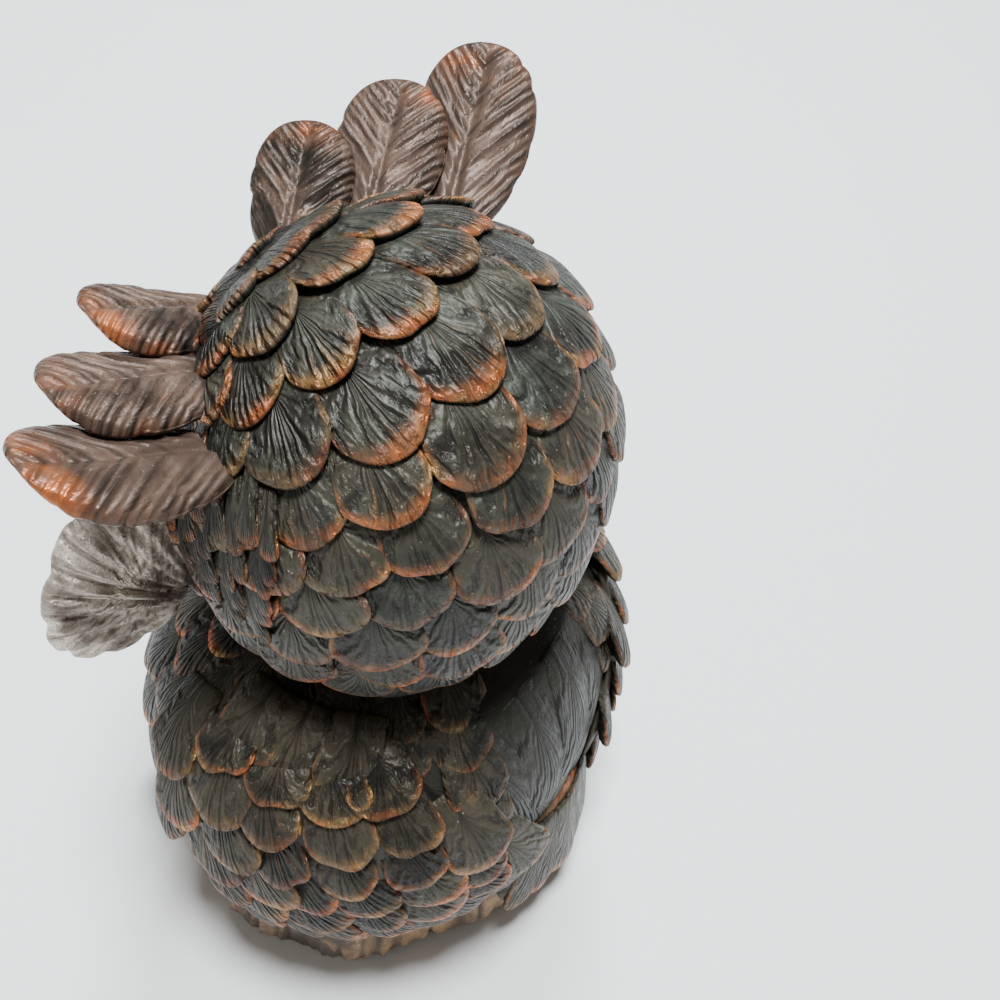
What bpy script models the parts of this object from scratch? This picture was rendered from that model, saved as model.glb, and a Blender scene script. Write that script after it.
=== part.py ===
"""Owl figurine on a stump, in metres, +Z up, facing -Y, with its left side towards +X.

The origin is the centre of the felt's underside. Pieces are cast apart and glued, so each
sits in a seat or pocket of its neighbour with one glue line round it.
"""

import math

import bmesh
import bpy
from mathutils import Matrix, Vector

# Fits
GLUE = 0.0003
WALL = 0.006

# Stump and felt
FELT_THICKNESS = 0.002
FELT_INSET = 0.003
STUMP_HALF_WIDTH = 0.054
STUMP_HALF_DEPTH = 0.050
STUMP_TOP = 0.0197
STUMP_LOBES = 7
STUMP_LOBE_DEPTH = 0.0022

# Body: an egg on the stump
BODY_HALF_WIDTH = 0.0575
BODY_HALF_DEPTH = 0.051
BODY_MIDDLE = 0.062
BODY_UP = 0.054
BODY_DOWN = 0.057
BODY_TOP = 0.103
BODY_ROWS = 6
BODY_FEATHERS = 12
PLUG_RADIUS = 0.034
PLUG_HEIGHT = 0.008

# Neck: a boss on the body with a bore for the head's spigot
NECK_RADIUS = 0.027
NECK_TOP = 0.1087
SPIGOT_RADIUS = 0.019
SPIGOT_LENGTH = 0.013
SPIGOT_BORE = 0.014

# Head: a hood of feathers spreading from the forehead
HEAD_HALF_WIDTH = 0.0425
HEAD_HALF_DEPTH = 0.0405
HEAD_MIDDLE = 0.150
HEAD_UP = 0.0475
HEAD_DOWN = 0.052
HEAD_ROWS = 11
HEAD_FEATHERS = 12
FOREHEAD_LEAN = math.radians(52)
FEATHER_LIP = 0.0024

# Face
FACE_SEAT = 0.031
FACE_HALF_WIDTH = 0.038
FACE_TOP = 0.170
FACE_BOTTOM = 0.1125
FACE_THICKNESS = 0.0075
EYE_RADIUS = 0.0085
EYE_SPACING = 0.034
EYE_HEIGHT = 0.147
EYE_DEPTH = 0.0035
EYE_DOME = 0.0035
BEAK_LENGTH = 0.020
BEAK_WIDTH = 0.010
BEAK_DEPTH = 0.011
BEAK_HEIGHT = 0.136
CHEEK_LENGTH = 0.027
CHEEK_WIDTH = 0.042
CHEEK_THICKNESS = 0.005

# Ear feathers: root, tip and width of the left one; the right one mirrors it
EAR_FEATHERS = {
    "front": ((0.0125, -0.0340, 0.1735), (0.0320, -0.0430, 0.1850), 0.019),
    "middle": ((0.0270, -0.0245, 0.1760), (0.0505, -0.0345, 0.1875), 0.021),
    "rear": ((0.0375, -0.0135, 0.1730), (0.0665, -0.0245, 0.1915), 0.023),
}
EAR_THICKNESS = 0.0055
EAR_TENON = 0.005
EAR_TWIST = math.radians(-34)

# Wings, tail and feet
WING_THICKNESS = 0.0065
WING_GAP = 0.0013
WING_ROWS = 6
WING_FEATHERS = 5
WING_INNER = 10
WING_TOP = 0.099
WING_TIP = 0.027
TAIL_HALF_WIDTH = 0.020
TAIL_TOP = 0.058
TAIL_TIP = 0.012
TAIL_THICKNESS = 0.007
TAIL_OUT = 0.0545
FOOT_SPACING = 0.034
TOE_RADIUS = 0.0042
TOE_SPREAD = 0.0085
TOE_FRONT = 0.0515
TOE_BACK = 0.021


class Egg:
    """An upright egg whose plan is an ellipse and whose halves above and below can differ."""

    def __init__(self, middle, half_width, half_depth, up, down, power_up, power_down):
        self.middle = middle
        self.half_width = half_width
        self.half_depth = half_depth
        self.up = (up, power_up)
        self.down = (down, power_down)

    def swell(self, height):
        """Share of the widest plan at a height."""
        rise = height - self.middle
        reach, power = self.up if rise > 0 else self.down
        return max(0.0, 1 - abs(rise / reach) ** power) ** (1 / power)

    def at(self, height, turn, out=0.0):
        """Point at a height and a turn from the front towards +X, standing out by so much."""
        swell = self.swell(height)
        x = self.half_width * swell * math.sin(turn)
        y = -self.half_depth * swell * math.cos(turn)
        point = Vector((x, y, height))
        return point + self.normal(point) * out

    def along(self, direction, out=0.0):
        """Point where a direction from the middle leaves the egg, standing out by so much."""
        reach, power = self.up if direction.z > 0 else self.down
        plan = math.hypot(direction.x / self.half_width, direction.y / self.half_depth)
        size = (plan**power + abs(direction.z / reach) ** power) ** (-1 / power)
        point = Vector((0, 0, self.middle)) + direction * size
        return point + self.normal(point) * out

    def normal(self, point):
        rise = point.z - self.middle
        reach, power = self.up if rise > 0 else self.down
        plan = math.hypot(point.x / self.half_width, point.y / self.half_depth)
        slope = plan ** (power - 2) if plan > 0 else 0.0
        upward = abs(rise) ** (power - 1) / reach**power
        across = slope * point.x / self.half_width**2
        along = slope * point.y / self.half_depth**2
        return Vector((across, along, math.copysign(upward, rise))).normalized()


HEAD = Egg(HEAD_MIDDLE, HEAD_HALF_WIDTH, HEAD_HALF_DEPTH, HEAD_UP, HEAD_DOWN, 2.0, 2.25)
BODY = Egg(BODY_MIDDLE, BODY_HALF_WIDTH, BODY_HALF_DEPTH, BODY_UP, BODY_DOWN, 2.4, 2.3)
RIM = NECK_TOP + GLUE
BODY_BOTTOM = STUMP_TOP + GLUE
STUMP_BOTTOM = FELT_THICKNESS + GLUE


# Helpers


def clear_scene():
    for obj in list(bpy.data.objects):
        bpy.data.objects.remove(obj, do_unlink=True)


def material(name, colour, roughness, metallic=0.0):
    made = bpy.data.materials.new(name)
    made.use_nodes = True
    shader = made.node_tree.nodes["Principled BSDF"]
    shader.inputs["Base Color"].default_value = (*colour, 1.0)
    shader.inputs["Roughness"].default_value = roughness
    shader.inputs["Metallic"].default_value = metallic
    made.diffuse_color = (*colour, 1.0)
    return made


def face_outwards(bm):
    bmesh.ops.recalc_face_normals(bm, faces=bm.faces)
    if bm.calc_volume(signed=True) < 0:
        bmesh.ops.reverse_faces(bm, faces=bm.faces)
    bm.normal_update()


def add(name, bm, finish=None):
    """An object of this mesh. Without a finish it is a cutter."""
    face_outwards(bm)
    mesh = bpy.data.meshes.new(name)
    bm.to_mesh(mesh)
    bm.free()
    obj = bpy.data.objects.new(name, mesh)
    bpy.context.scene.collection.objects.link(obj)
    if finish is None:
        obj.hide_render = True
        obj.display_type = "WIRE"
        return obj
    mesh.materials.append(finish)
    mesh.shade_smooth()
    return obj


def boolean(obj, other, operation="DIFFERENCE"):
    modifier = obj.modifiers.new(other.name, "BOOLEAN")
    modifier.operation = operation
    modifier.solver = "EXACT"
    modifier.object = other


def skin(columns, rings, place):
    """A closed skin: place(ring, column) gives each point, and rings 0 and last are its poles."""
    bm = bmesh.new()
    bmesh.ops.create_uvsphere(bm, u_segments=columns, v_segments=rings, radius=1.0)
    for vertex in bm.verts:
        tilt = math.acos(max(-1.0, min(1.0, vertex.co.z)))
        ring = round(tilt / math.pi * rings)
        column = round(math.atan2(vertex.co.y, vertex.co.x) / math.tau * columns) % columns
        vertex.co = place(ring, column)
    return bm


def turned(columns, stations):
    """A closed solid of elliptical rings: stations are (half width, half depth, height)."""
    last = len(stations) - 1

    def place(ring, column):
        width, depth, height = stations[ring]
        turn = math.tau * column / columns
        if ring in (0, last):
            return Vector((0, 0, height))
        return Vector((width * math.sin(turn), -depth * math.cos(turn), height))

    return skin(columns, last, place)


def grown(bm, gap=1.3 * GLUE):
    """The same shape with room for the glue all round, to cut its pocket with."""
    face_outwards(bm)
    moved = [vertex.co + vertex.normal * gap for vertex in bm.verts]
    for vertex, place in zip(bm.verts, moved):
        vertex.co = place
    return bm


def plate(columns, rings, outline, middle, thickness, place):
    """A rounded plate: outline(turn) is its edge, middle(u, v) its bend, place its seat."""

    def point(ring, column):
        share = math.sin(math.pi * ring / rings)
        side = 1 if ring < rings / 2 else -1
        x, y = outline(math.tau * column / columns)
        half = thickness / 2 * (1 - share**3) ** (1 / 3)
        u = x * share
        v = y * share
        return place(u, v, middle(u, v) + side * half)

    return skin(columns, rings, point)


def mirrored(side, vector):
    return Vector((vector[0] * side, vector[1], vector[2]))


def cylinder(radius, length, centre, segments=24):
    """A cylinder along Y."""
    bm = bmesh.new()
    bmesh.ops.create_cone(
        bm, cap_ends=True, segments=segments, radius1=radius, radius2=radius, depth=length
    )
    bmesh.ops.rotate(bm, verts=bm.verts, matrix=Matrix.Rotation(math.pi / 2, 3, "X"))
    bmesh.ops.translate(bm, verts=bm.verts, vec=centre)
    return bm


def scallop(column, row):
    """How far a feather's tip reaches: 1 at its middle and -1 in the notch beside it."""
    return (1.0, 0.5, -1.0, 0.5)[(column + 2 * (row % 2)) % 4]


# Stump and felt


def stump_edge(turn, inset=0.0):
    lobe = STUMP_LOBE_DEPTH * math.sin(STUMP_LOBES * turn) * math.cos(2 * turn + 1)
    x = (STUMP_HALF_WIDTH + lobe - inset) * math.sin(turn)
    y = -(STUMP_HALF_DEPTH + lobe - inset) * math.cos(turn)
    return x, y


def stump_solid(levels, columns=42):
    """Rings of the stump's own outline: levels are (inset, height)."""
    last = len(levels) - 1

    def place(ring, column):
        inset, height = levels[ring]
        if ring in (0, last):
            return Vector((0, 0, height))
        return Vector((*stump_edge(math.tau * column / columns, inset), height))

    return skin(columns, last, place)


def make_felt(finish):
    levels = [(0, FELT_THICKNESS), (FELT_INSET, FELT_THICKNESS), (FELT_INSET, 0), (0, 0)]
    return add("felt_pad", stump_solid(levels), finish)


def make_stump(finish):
    chamfer = 0.0015
    waist = 0.0025
    levels = [
        (0, STUMP_TOP),
        (chamfer + waist, STUMP_TOP),
        (waist, STUMP_TOP - chamfer),
        (waist, (STUMP_TOP + STUMP_BOTTOM) / 2),
        (0, STUMP_BOTTOM + chamfer),
        (chamfer, STUMP_BOTTOM),
        (0, STUMP_BOTTOM),
    ]
    stump = add("stump_base", stump_solid(levels), finish)
    low = STUMP_TOP - WALL
    high = STUMP_TOP + PLUG_HEIGHT
    radius = PLUG_RADIUS
    top = radius - 0.001
    rings = [(0, 0, high), (top, top, high), (radius, radius, high - 0.001)]
    rings += [(radius, radius, low), (0, 0, low)]
    boolean(stump, add("stump_plug_shape", turned(32, rings)), "UNION")
    return stump


# Body


def make_body(finish):
    columns = 4 * BODY_FEATHERS
    row_height = (BODY_TOP - BODY_BOTTOM) / BODY_ROWS
    neck = [(0, NECK_TOP), (NECK_RADIUS, NECK_TOP), (NECK_RADIUS + 0.001, BODY_TOP)]
    last = len(neck) + 2 * BODY_ROWS + 1

    def place(ring, column):
        turn = math.tau * column / columns
        if ring < len(neck):
            radius, height = neck[ring]
            return Vector((radius * math.sin(turn), -radius * math.cos(turn), height))
        if ring == last:
            return Vector((0, 0, BODY_BOTTOM))
        if ring == last - 1:
            return BODY.at(BODY_BOTTOM, turn)
        row, foot = divmod(ring - len(neck), 2)
        reach = scallop(column, row)
        height = BODY_TOP - row_height * (row + 0.62 + 0.22 * reach)
        if foot:
            return BODY.at(height - 0.0002, turn)
        lip = 0.0001 if under_wing(height, turn) else FEATHER_LIP * (0.8 + 0.2 * reach)
        return BODY.at(height, turn, lip)

    return add("body_casting", skin(columns, last, place), finish)


def hollow_body(body):
    """Cuts the neck's bore, the hollow and its opening over the stump's plug in one."""
    bore = SPIGOT_RADIUS + GLUE
    mouth = PLUG_RADIUS + GLUE
    shelf = BODY_TOP - WALL
    floor = STUMP_TOP + PLUG_HEIGHT + 0.002
    rings = [(0, 0, NECK_TOP + 0.002), (bore, bore, NECK_TOP + 0.002), (bore, bore, shelf)]
    steps = 6
    for step in range(steps + 1):
        height = shelf + (floor - shelf) * step / steps
        swell = BODY.swell(height)
        rings.append((BODY_HALF_WIDTH * swell - WALL, BODY_HALF_DEPTH * swell - WALL, height))
    rings[3] = (rings[3][0] - WALL, rings[3][1] - WALL, shelf - 0.001)
    rings += [(mouth, mouth, floor - 0.001), (mouth, mouth, BODY_BOTTOM - 0.002)]
    rings.append((0, 0, BODY_BOTTOM - 0.002))
    boolean(body, add("body_hollow", turned(24, rings)))


# Head


def head_direction(share, turn):
    """Direction from the head's middle: rows are circles that open from forehead to rim."""
    edge = HEAD.at(RIM, 0)
    spread = math.pi - math.atan2(-edge.y, HEAD_MIDDLE - RIM)
    lean = FOREHEAD_LEAN * (1 - share)
    centre = Vector((0, -math.sin(lean), math.cos(lean)))
    down = Vector((0, -math.cos(lean), -math.sin(lean)))
    across = down * math.cos(turn) + Vector((math.sin(turn), 0, 0))
    return centre * math.cos(share * spread) + across * math.sin(share * spread)


def make_head(finish):
    columns = 4 * HEAD_FEATHERS
    rows = HEAD_ROWS - 1
    spigot_end = RIM - SPIGOT_LENGTH
    last = 2 * rows + 5

    def place(ring, column):
        turn = math.tau * column / columns
        if ring == 0:
            return HEAD.along(head_direction(0, 0), FEATHER_LIP / 2)
        if ring == last:
            return Vector((0, 0, spigot_end))
        if ring > 2 * rows:
            below = ring - 2 * rows
            if below == 1:
                return HEAD.at(RIM, turn)
            radius = SPIGOT_RADIUS - (0.001 if below == 4 else 0)
            height = (RIM, spigot_end + 0.001, spigot_end)[below - 2]
            return Vector((radius * math.sin(turn), -radius * math.cos(turn), height))
        row, foot = divmod(ring - 1, 2)
        reach = scallop(column, row)
        share = (row + 0.8 + 0.22 * reach) / HEAD_ROWS
        if foot:
            return HEAD.along(head_direction(share + 0.002, turn))
        return HEAD.along(head_direction(share, turn), FEATHER_LIP * (0.8 + 0.2 * reach))

    return add("head_casting", skin(columns, last, place), finish)


def hollow_head(head):
    """Cuts the hollow and the bore through the spigot in one."""
    bore = SPIGOT_BORE
    roof = HEAD_MIDDLE + HEAD_UP - 1.3 * WALL
    floor = RIM + WALL
    back = HEAD_HALF_DEPTH - WALL
    front = FACE_SEAT - 0.7 * WALL
    depth = (back + front) / 2
    middle = (back - front) / 2
    width = HEAD_HALF_WIDTH - WALL
    rings = [(0, 0, roof)]
    for tilt in (20, 45, 70, 90, 110, 130):
        swell = math.sin(math.radians(tilt))
        reach = roof - HEAD_MIDDLE if tilt < 90 else HEAD_MIDDLE - floor
        height = HEAD_MIDDLE + reach * math.cos(math.radians(tilt)) * (1 if tilt < 90 else 1.25)
        rings.append((width * swell, depth * swell, height))
    rings += [(bore + 0.002, bore + 0.002, floor), (bore, bore, floor - 0.001)]
    rings += [(bore, bore, RIM - SPIGOT_LENGTH - 0.002), (0, 0, RIM - SPIGOT_LENGTH - 0.002)]
    bm = turned(24, rings)
    for vertex in bm.verts:
        if vertex.co.z > floor:
            vertex.co.y += middle
    boolean(head, add("head_hollow", bm))


def face_seat_cutter():
    """The space in front of the flat seat, from the chin to the brow."""
    bm = bmesh.new()
    bmesh.ops.create_cube(bm, size=1.0)
    low = FACE_BOTTOM - 2 * GLUE
    high = FACE_TOP + 2 * GLUE
    size = (4 * FACE_HALF_WIDTH, 0.06, high - low)
    bmesh.ops.scale(bm, verts=bm.verts, vec=size)
    place = (0, -FACE_SEAT - size[1] / 2, (high + low) / 2)
    bmesh.ops.translate(bm, verts=bm.verts, vec=place)
    return add("face_seat", bm)


# Face


def face_edge(turn):
    """Outline of the two facial discs, seen from the front: turn 0 is up."""
    half_height = (FACE_TOP - FACE_BOTTOM) / 2
    notch = 1 - 0.10 * math.cos(turn) ** 8 * (1 if math.cos(turn) > 0 else 0.4)
    x = FACE_HALF_WIDTH * math.copysign(abs(math.sin(turn)) ** 0.85, math.sin(turn))
    z = half_height * math.copysign(abs(math.cos(turn)) ** 0.85, math.cos(turn))
    return x * notch, z * notch


def face_front(x, height):
    """How far the mask's front stands off its seat: two dishes round the eyes, ridge between."""
    reach = math.hypot(abs(x) - EYE_SPACING / 2, height - EYE_HEIGHT)
    dish = 0.0030 * math.exp(-((reach / 0.011) ** 2))
    ridge = 0.0020 * math.exp(-((x / 0.005) ** 2))
    return FACE_THICKNESS - dish + ridge - 0.0025 * (x / FACE_HALF_WIDTH) ** 2


def make_face(finish):
    middle = (FACE_TOP + FACE_BOTTOM) / 2
    rings = 14
    columns = 40
    seat = FACE_SEAT + GLUE

    def point(ring, column):
        share = math.sin(math.pi * ring / rings)
        x, rise = face_edge(math.tau * column / columns)
        x *= share
        height = middle + rise * share
        rim = (1 - share**6) ** (1 / 6)
        if ring < rings / 2:
            thickness = 0.002 + (face_front(x, height) - 0.002) * rim
            return Vector((x, -seat - thickness, height))
        if ring > rings / 2:
            return Vector((x * 0.97, -seat, middle + rise * share * 0.97))
        return Vector((x, -seat - 0.002, height))

    face = add("face_mask", skin(columns, rings, point), finish)
    for side, name in ((1, "left"), (-1, "right")):
        floor = eye_floor()
        centre = (side * EYE_SPACING / 2, -floor - 0.01, EYE_HEIGHT)
        boolean(face, add(f"{name}_eye_socket", cylinder(EYE_RADIUS + GLUE, 0.02, centre)))
    flat = beak_seat()
    bm = bmesh.new()
    bmesh.ops.create_cube(bm, size=1.0)
    size = (BEAK_WIDTH + 2 * GLUE, 0.02, BEAK_LENGTH + 2 * GLUE)
    bmesh.ops.scale(bm, verts=bm.verts, vec=size)
    bmesh.ops.translate(bm, verts=bm.verts, vec=(0, -flat - 0.01, BEAK_HEIGHT))
    boolean(face, add("beak_seat", bm))
    return face


def eye_floor():
    """Distance of the eye sockets' floor in front of the Z axis."""
    front = face_front(EYE_SPACING / 2, EYE_HEIGHT)
    return FACE_SEAT + GLUE + front - EYE_DEPTH + 0.001


def beak_seat():
    return FACE_SEAT + GLUE + FACE_THICKNESS - 0.0015


def make_eye(name, side, finish):
    """A glass cabochon: a short cylinder with a dome in front."""
    levels = [(0, EYE_DEPTH + EYE_DOME)]
    for tilt in (25, 50, 75):
        angle = math.radians(tilt)
        levels.append((math.sin(angle), EYE_DEPTH + EYE_DOME * math.cos(angle)))
    levels += [(1, EYE_DEPTH), (1, 0), (0, 0)]
    rings = [(EYE_RADIUS * share, EYE_RADIUS * share, height) for share, height in levels]
    bm = turned(24, rings)
    bmesh.ops.rotate(bm, verts=bm.verts, matrix=Matrix.Rotation(math.pi / 2, 3, "X"))
    place = (side * EYE_SPACING / 2, -eye_floor() - GLUE, EYE_HEIGHT)
    bmesh.ops.translate(bm, verts=bm.verts, vec=place)
    return add(name, bm, finish)


def make_beak(finish):
    """A hooked beak with a flat back."""
    columns = 16
    rings = 8
    flat = beak_seat() + GLUE

    def place(ring, column):
        share = ring / rings
        turn = math.tau * column / columns
        wide = BEAK_WIDTH / 2 * math.sqrt(max(0.0, 1 - share**1.6)) * min(1.0, 3 * share + 0.4)
        height = BEAK_HEIGHT + BEAK_LENGTH * (0.5 - share)
        deep = BEAK_DEPTH * math.sin(math.pi * min(0.92, 0.12 + 0.75 * share)) ** 0.8
        if ring in (0, rings):
            return Vector((0, -flat - deep * 0.3 - (0.002 if ring else 0), height))
        out = max(0.0, -math.cos(turn))
        return Vector((wide * math.sin(turn), -flat - deep * out**0.7, height))

    return add("beak", skin(columns, rings, place), finish)


def cheek_axes(side):
    """Root, outward and downward directions and normal of a cheek fan."""
    root = mirrored(side, (0.0365, -0.0245, 0.1420))
    out = mirrored(side, (0.62, -0.70, 0.35)).normalized()
    down = mirrored(side, (0.45, -0.05, -0.89))
    down = (down - out * down.dot(out)).normalized()
    return root, out, down, out.cross(down) * side


def cheek_plate(side):
    root, out, down, normal = cheek_axes(side)
    length = CHEEK_LENGTH
    width = CHEEK_WIDTH

    def outline(turn):
        across = width / 2 * math.sin(turn) * (1 + 0.25 * math.cos(turn))
        return across, length / 2 * math.cos(turn)

    def middle(u, v):
        return -6.0 * u * u - 3.0 * v * v

    def place(u, v, w):
        return root + out * (v + length * 0.36) + down * (u + width * 0.33) + normal * w

    return plate(20, 8, outline, middle, CHEEK_THICKNESS, place)


# Ear feathers


def ear_plate(which, side):
    root, tip, width = EAR_FEATHERS[which]
    root = mirrored(side, root)
    along = mirrored(side, tip) - root
    reach = along.length
    along.normalize()
    normal = mirrored(side, (-0.20, 0.57, 0.80))
    normal = (normal - along * normal.dot(along)).normalized()
    normal = Matrix.Rotation(-side * EAR_TWIST, 3, along) @ normal
    across = along.cross(normal) * side
    length = reach + EAR_TENON

    def outline(turn):
        wide = width / 2 * math.sin(turn) * (1 + 0.28 * math.cos(turn))
        return wide, length / 2 * math.cos(turn)

    def middle(u, v):
        return -9.0 * u * u + 4.0 * v * v

    def place(u, v, w):
        return root + along * (v + length / 2 - EAR_TENON) + across * u + normal * w

    return plate(20, 8, outline, middle, EAR_THICKNESS, place)


# Wings and tail


def wing_span(drop):
    """Turns of the wing's front and back edges, with drop from 0 at the top to 1 at the tip."""
    front = math.radians(62 + 52 * drop**2)
    back = math.radians(142 + 29 * min(1.0, 1.4 * drop))
    return front, back


def under_wing(height, turn):
    """Whether a wing, or the narrow strip beside it, covers this place on the body."""
    margin = math.radians(15)
    drop = (WING_TOP - height) / (WING_TOP - WING_TIP)
    front, back = wing_span(min(1.0, max(0.0, drop)))
    turn = min(turn, math.tau - turn)
    return -0.25 < drop < 1.25 and front - margin < turn < back + margin


def wing_point(side, column, v, reach=0.0, sunk=0.0):
    """Columns run over the outside from the front edge, then back along the inside."""
    outer = 4 * WING_FEATHERS
    if column <= outer:
        u = 2 * column / outer - 1
    else:
        u = 1 - 2 * (column - outer) / WING_INNER
    edge = (1 - u**4) ** 0.25
    out = WING_GAP
    if column <= outer:
        out += (WING_THICKNESS - sunk) * edge
        v -= reach * edge
    drop = (1 - v) / 2
    wide = (1 - abs(v) ** 2.4) ** (1 / 2.4)
    front, back = wing_span(drop)
    turn = (front + back) / 2 + u * wide * (back - front) / 2
    height = WING_TOP - drop * (WING_TOP - WING_TIP)
    return mirrored(side, BODY.at(height, turn, out))


def make_wing(name, side, finish):
    """Feather rows outside and a plain skin inside, closing at the shoulder and the tip."""
    last = 2 * WING_ROWS + 1
    step = 2 / (WING_ROWS + 0.35)

    def place(ring, column):
        if ring in (0, last):
            return wing_point(side, 0, 1 if ring == 0 else -1)
        row, foot = divmod(ring - 1, 2)
        tip = scallop(column, row)
        v = 1 - step * (row + 0.7) - 0.003 * foot
        sunk = FEATHER_LIP * (0.65 if foot else 0.2 - 0.2 * tip)
        return wing_point(side, column, v, 0.2 * step * tip, sunk)

    return add(name, skin(4 * WING_FEATHERS + WING_INNER, last, place), finish)


def tail_plate():
    length = TAIL_TOP - TAIL_TIP
    middle_height = (TAIL_TOP + TAIL_TIP) / 2

    def outline(turn):
        wide = TAIL_HALF_WIDTH * math.sin(turn) * (1 - 0.25 * math.cos(turn))
        return wide, length / 2 * math.cos(turn)

    def middle(u, v):
        return -8.0 * u * u

    def place(u, v, w):
        lean = 0.08 * (length / 2 - v)
        return Vector((u, TAIL_OUT + lean + w - TAIL_THICKNESS / 2, middle_height + v))

    return plate(24, 8, outline, middle, TAIL_THICKNESS, place)


# Feet


def toe_path(side, toe):
    """Points of one toe: from under the belly, over the stump's edge, to its claw."""
    x = side * FOOT_SPACING / 2
    splay = toe * TOE_SPREAD
    top = STUMP_TOP + TOE_RADIUS * 0.45
    return [
        Vector((x + splay * 0.15, -TOE_FRONT + TOE_BACK, top + 0.002)),
        Vector((x + splay * 0.45, -TOE_FRONT + TOE_BACK * 0.67, top + 0.003)),
        Vector((x + splay * 0.80, -TOE_FRONT + TOE_BACK * 0.3, top + 0.002)),
        Vector((x + splay * 1.00, -TOE_FRONT, top - 0.002)),
        Vector((x + splay * 1.08, -TOE_FRONT - 0.0015, top - 0.008)),
        Vector((x + splay * 1.10, -TOE_FRONT + 0.0005, top - 0.0125)),
    ]


def toe_solid(side, toe):
    path = toe_path(side, toe)
    radii = [TOE_RADIUS * share for share in (0.95, 1.0, 1.05, 0.95, 0.55, 0.18)]
    columns = 12
    last = len(path) + 1

    def place(ring, column):
        index = min(max(ring - 1, 0), len(path) - 1)
        ahead = path[min(index + 1, len(path) - 1)] - path[max(index - 1, 0)]
        ahead.normalize()
        if ring == 0:
            return path[0] - ahead * radii[0] * 0.5
        if ring == last:
            return path[-1] + ahead * radii[-1]
        turn = math.tau * column / columns
        right = ahead.cross(Vector((0, 0, 1)))
        if right.length < 0.2:
            right = Vector((1, 0, 0))
        right.normalize()
        up = right.cross(ahead)
        return path[index] + (right * math.sin(turn) - up * math.cos(turn)) * radii[index]

    return skin(columns, last, place)


def make_foot(name, side, finish):
    foot = add(name, toe_solid(side, 0), finish)
    for toe, label in ((1, "outer"), (-1, "inner")):
        boolean(foot, add(f"{name}_{label}_toe", toe_solid(side, toe)), "UNION")
    return foot


def foot_arch(side):
    """The arch that the belly feathers leave over a foot."""
    length = 0.045
    back = -TOE_FRONT + TOE_BACK + TOE_RADIUS
    bm = cylinder(1.0, length, (0, back - length / 2, 0), 28)
    size = (TOE_SPREAD + 1.4 * TOE_RADIUS, 1.0, 3.3 * TOE_RADIUS)
    bmesh.ops.scale(bm, verts=bm.verts, vec=size)
    bmesh.ops.translate(bm, verts=bm.verts, vec=(side * FOOT_SPACING / 2, 0, STUMP_TOP))
    return bm


def cut_foot(side, name, body, stump):
    boolean(body, add(f"{name}_arch", foot_arch(side)))
    for toe in (-1, 0, 1):
        boolean(stump, add(f"{name}_groove_{toe + 1}", grown(toe_solid(side, toe))))


def main():
    clear_scene()
    patina = material("patina", (0.060, 0.050, 0.038), 0.48)
    crown = material("crown_patina", (0.066, 0.052, 0.038), 0.45)
    wing_patina = material("wing_patina", (0.070, 0.056, 0.036), 0.50)
    tuft_patina = material("tuft_patina", (0.110, 0.062, 0.044), 0.42)
    cheek_bronze = material("cheek_bronze", (0.300, 0.235, 0.175), 0.50)
    face_bronze = material("face_bronze", (0.200, 0.140, 0.090), 0.50)
    beak_horn = material("beak_horn", (0.045, 0.036, 0.030), 0.35)
    foot_bronze = material("foot_bronze", (0.150, 0.100, 0.055), 0.45)
    bark = material("bark", (0.170, 0.115, 0.070), 0.62)
    amber = material("amber_glass", (0.550, 0.260, 0.040), 0.06)
    felt = material("felt", (0.045, 0.048, 0.044), 0.95)

    make_felt(felt)
    stump = make_stump(bark)
    body = make_body(patina)
    hollow_body(body)
    head = make_head(crown)
    hollow_head(head)
    boolean(head, face_seat_cutter())
    make_face(face_bronze)
    make_beak(beak_horn)
    tail = add("tail", tail_plate(), wing_patina)
    tail_pocket = add("tail_pocket", grown(tail_plate()))
    boolean(body, tail_pocket)
    boolean(stump, tail_pocket)
    for side, name in ((1, "left"), (-1, "right")):
        make_eye(f"{name}_eye", side, amber)
        for which in EAR_FEATHERS:
            label = f"{name}_ear_feather_{which}"
            add(label, ear_plate(which, side), tuft_patina)
            boolean(head, add(f"{label}_pocket", grown(ear_plate(which, side))))
        add(f"{name}_cheek_fan", cheek_plate(side), cheek_bronze)
        boolean(head, add(f"{name}_cheek_pocket", grown(cheek_plate(side))))
        boolean(make_wing(f"{name}_wing", side, wing_patina), tail_pocket)
        make_foot(f"{name}_foot", side, foot_bronze)
        cut_foot(side, name, body, stump)


main()
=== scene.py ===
import math
import random

import bmesh
import bpy
from mathutils import Matrix, Vector, noise


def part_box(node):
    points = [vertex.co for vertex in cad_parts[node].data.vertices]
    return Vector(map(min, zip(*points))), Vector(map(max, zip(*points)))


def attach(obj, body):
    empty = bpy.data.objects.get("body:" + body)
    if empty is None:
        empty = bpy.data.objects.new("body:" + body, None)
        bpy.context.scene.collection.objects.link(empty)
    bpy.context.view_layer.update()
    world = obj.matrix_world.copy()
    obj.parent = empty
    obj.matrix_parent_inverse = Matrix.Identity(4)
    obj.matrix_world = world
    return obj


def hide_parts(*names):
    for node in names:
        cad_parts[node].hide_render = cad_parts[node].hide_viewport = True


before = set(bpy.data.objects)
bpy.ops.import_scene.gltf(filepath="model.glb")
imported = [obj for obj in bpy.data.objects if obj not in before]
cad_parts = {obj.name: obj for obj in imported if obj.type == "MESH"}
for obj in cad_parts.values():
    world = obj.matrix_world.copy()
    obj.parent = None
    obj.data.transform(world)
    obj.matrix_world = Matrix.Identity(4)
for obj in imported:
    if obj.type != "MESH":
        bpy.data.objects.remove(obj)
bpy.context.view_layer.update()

bl_info = {
    "name": "Owl Figurine",
    "version": (1, 0, 0),
    "blender": (4, 5, 0),
    "location": "3D View > Sidebar > Owl",
    "description": "Builds a cast owl on a stump, one piece at a time",
    "category": "Add Mesh",
}

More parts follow.
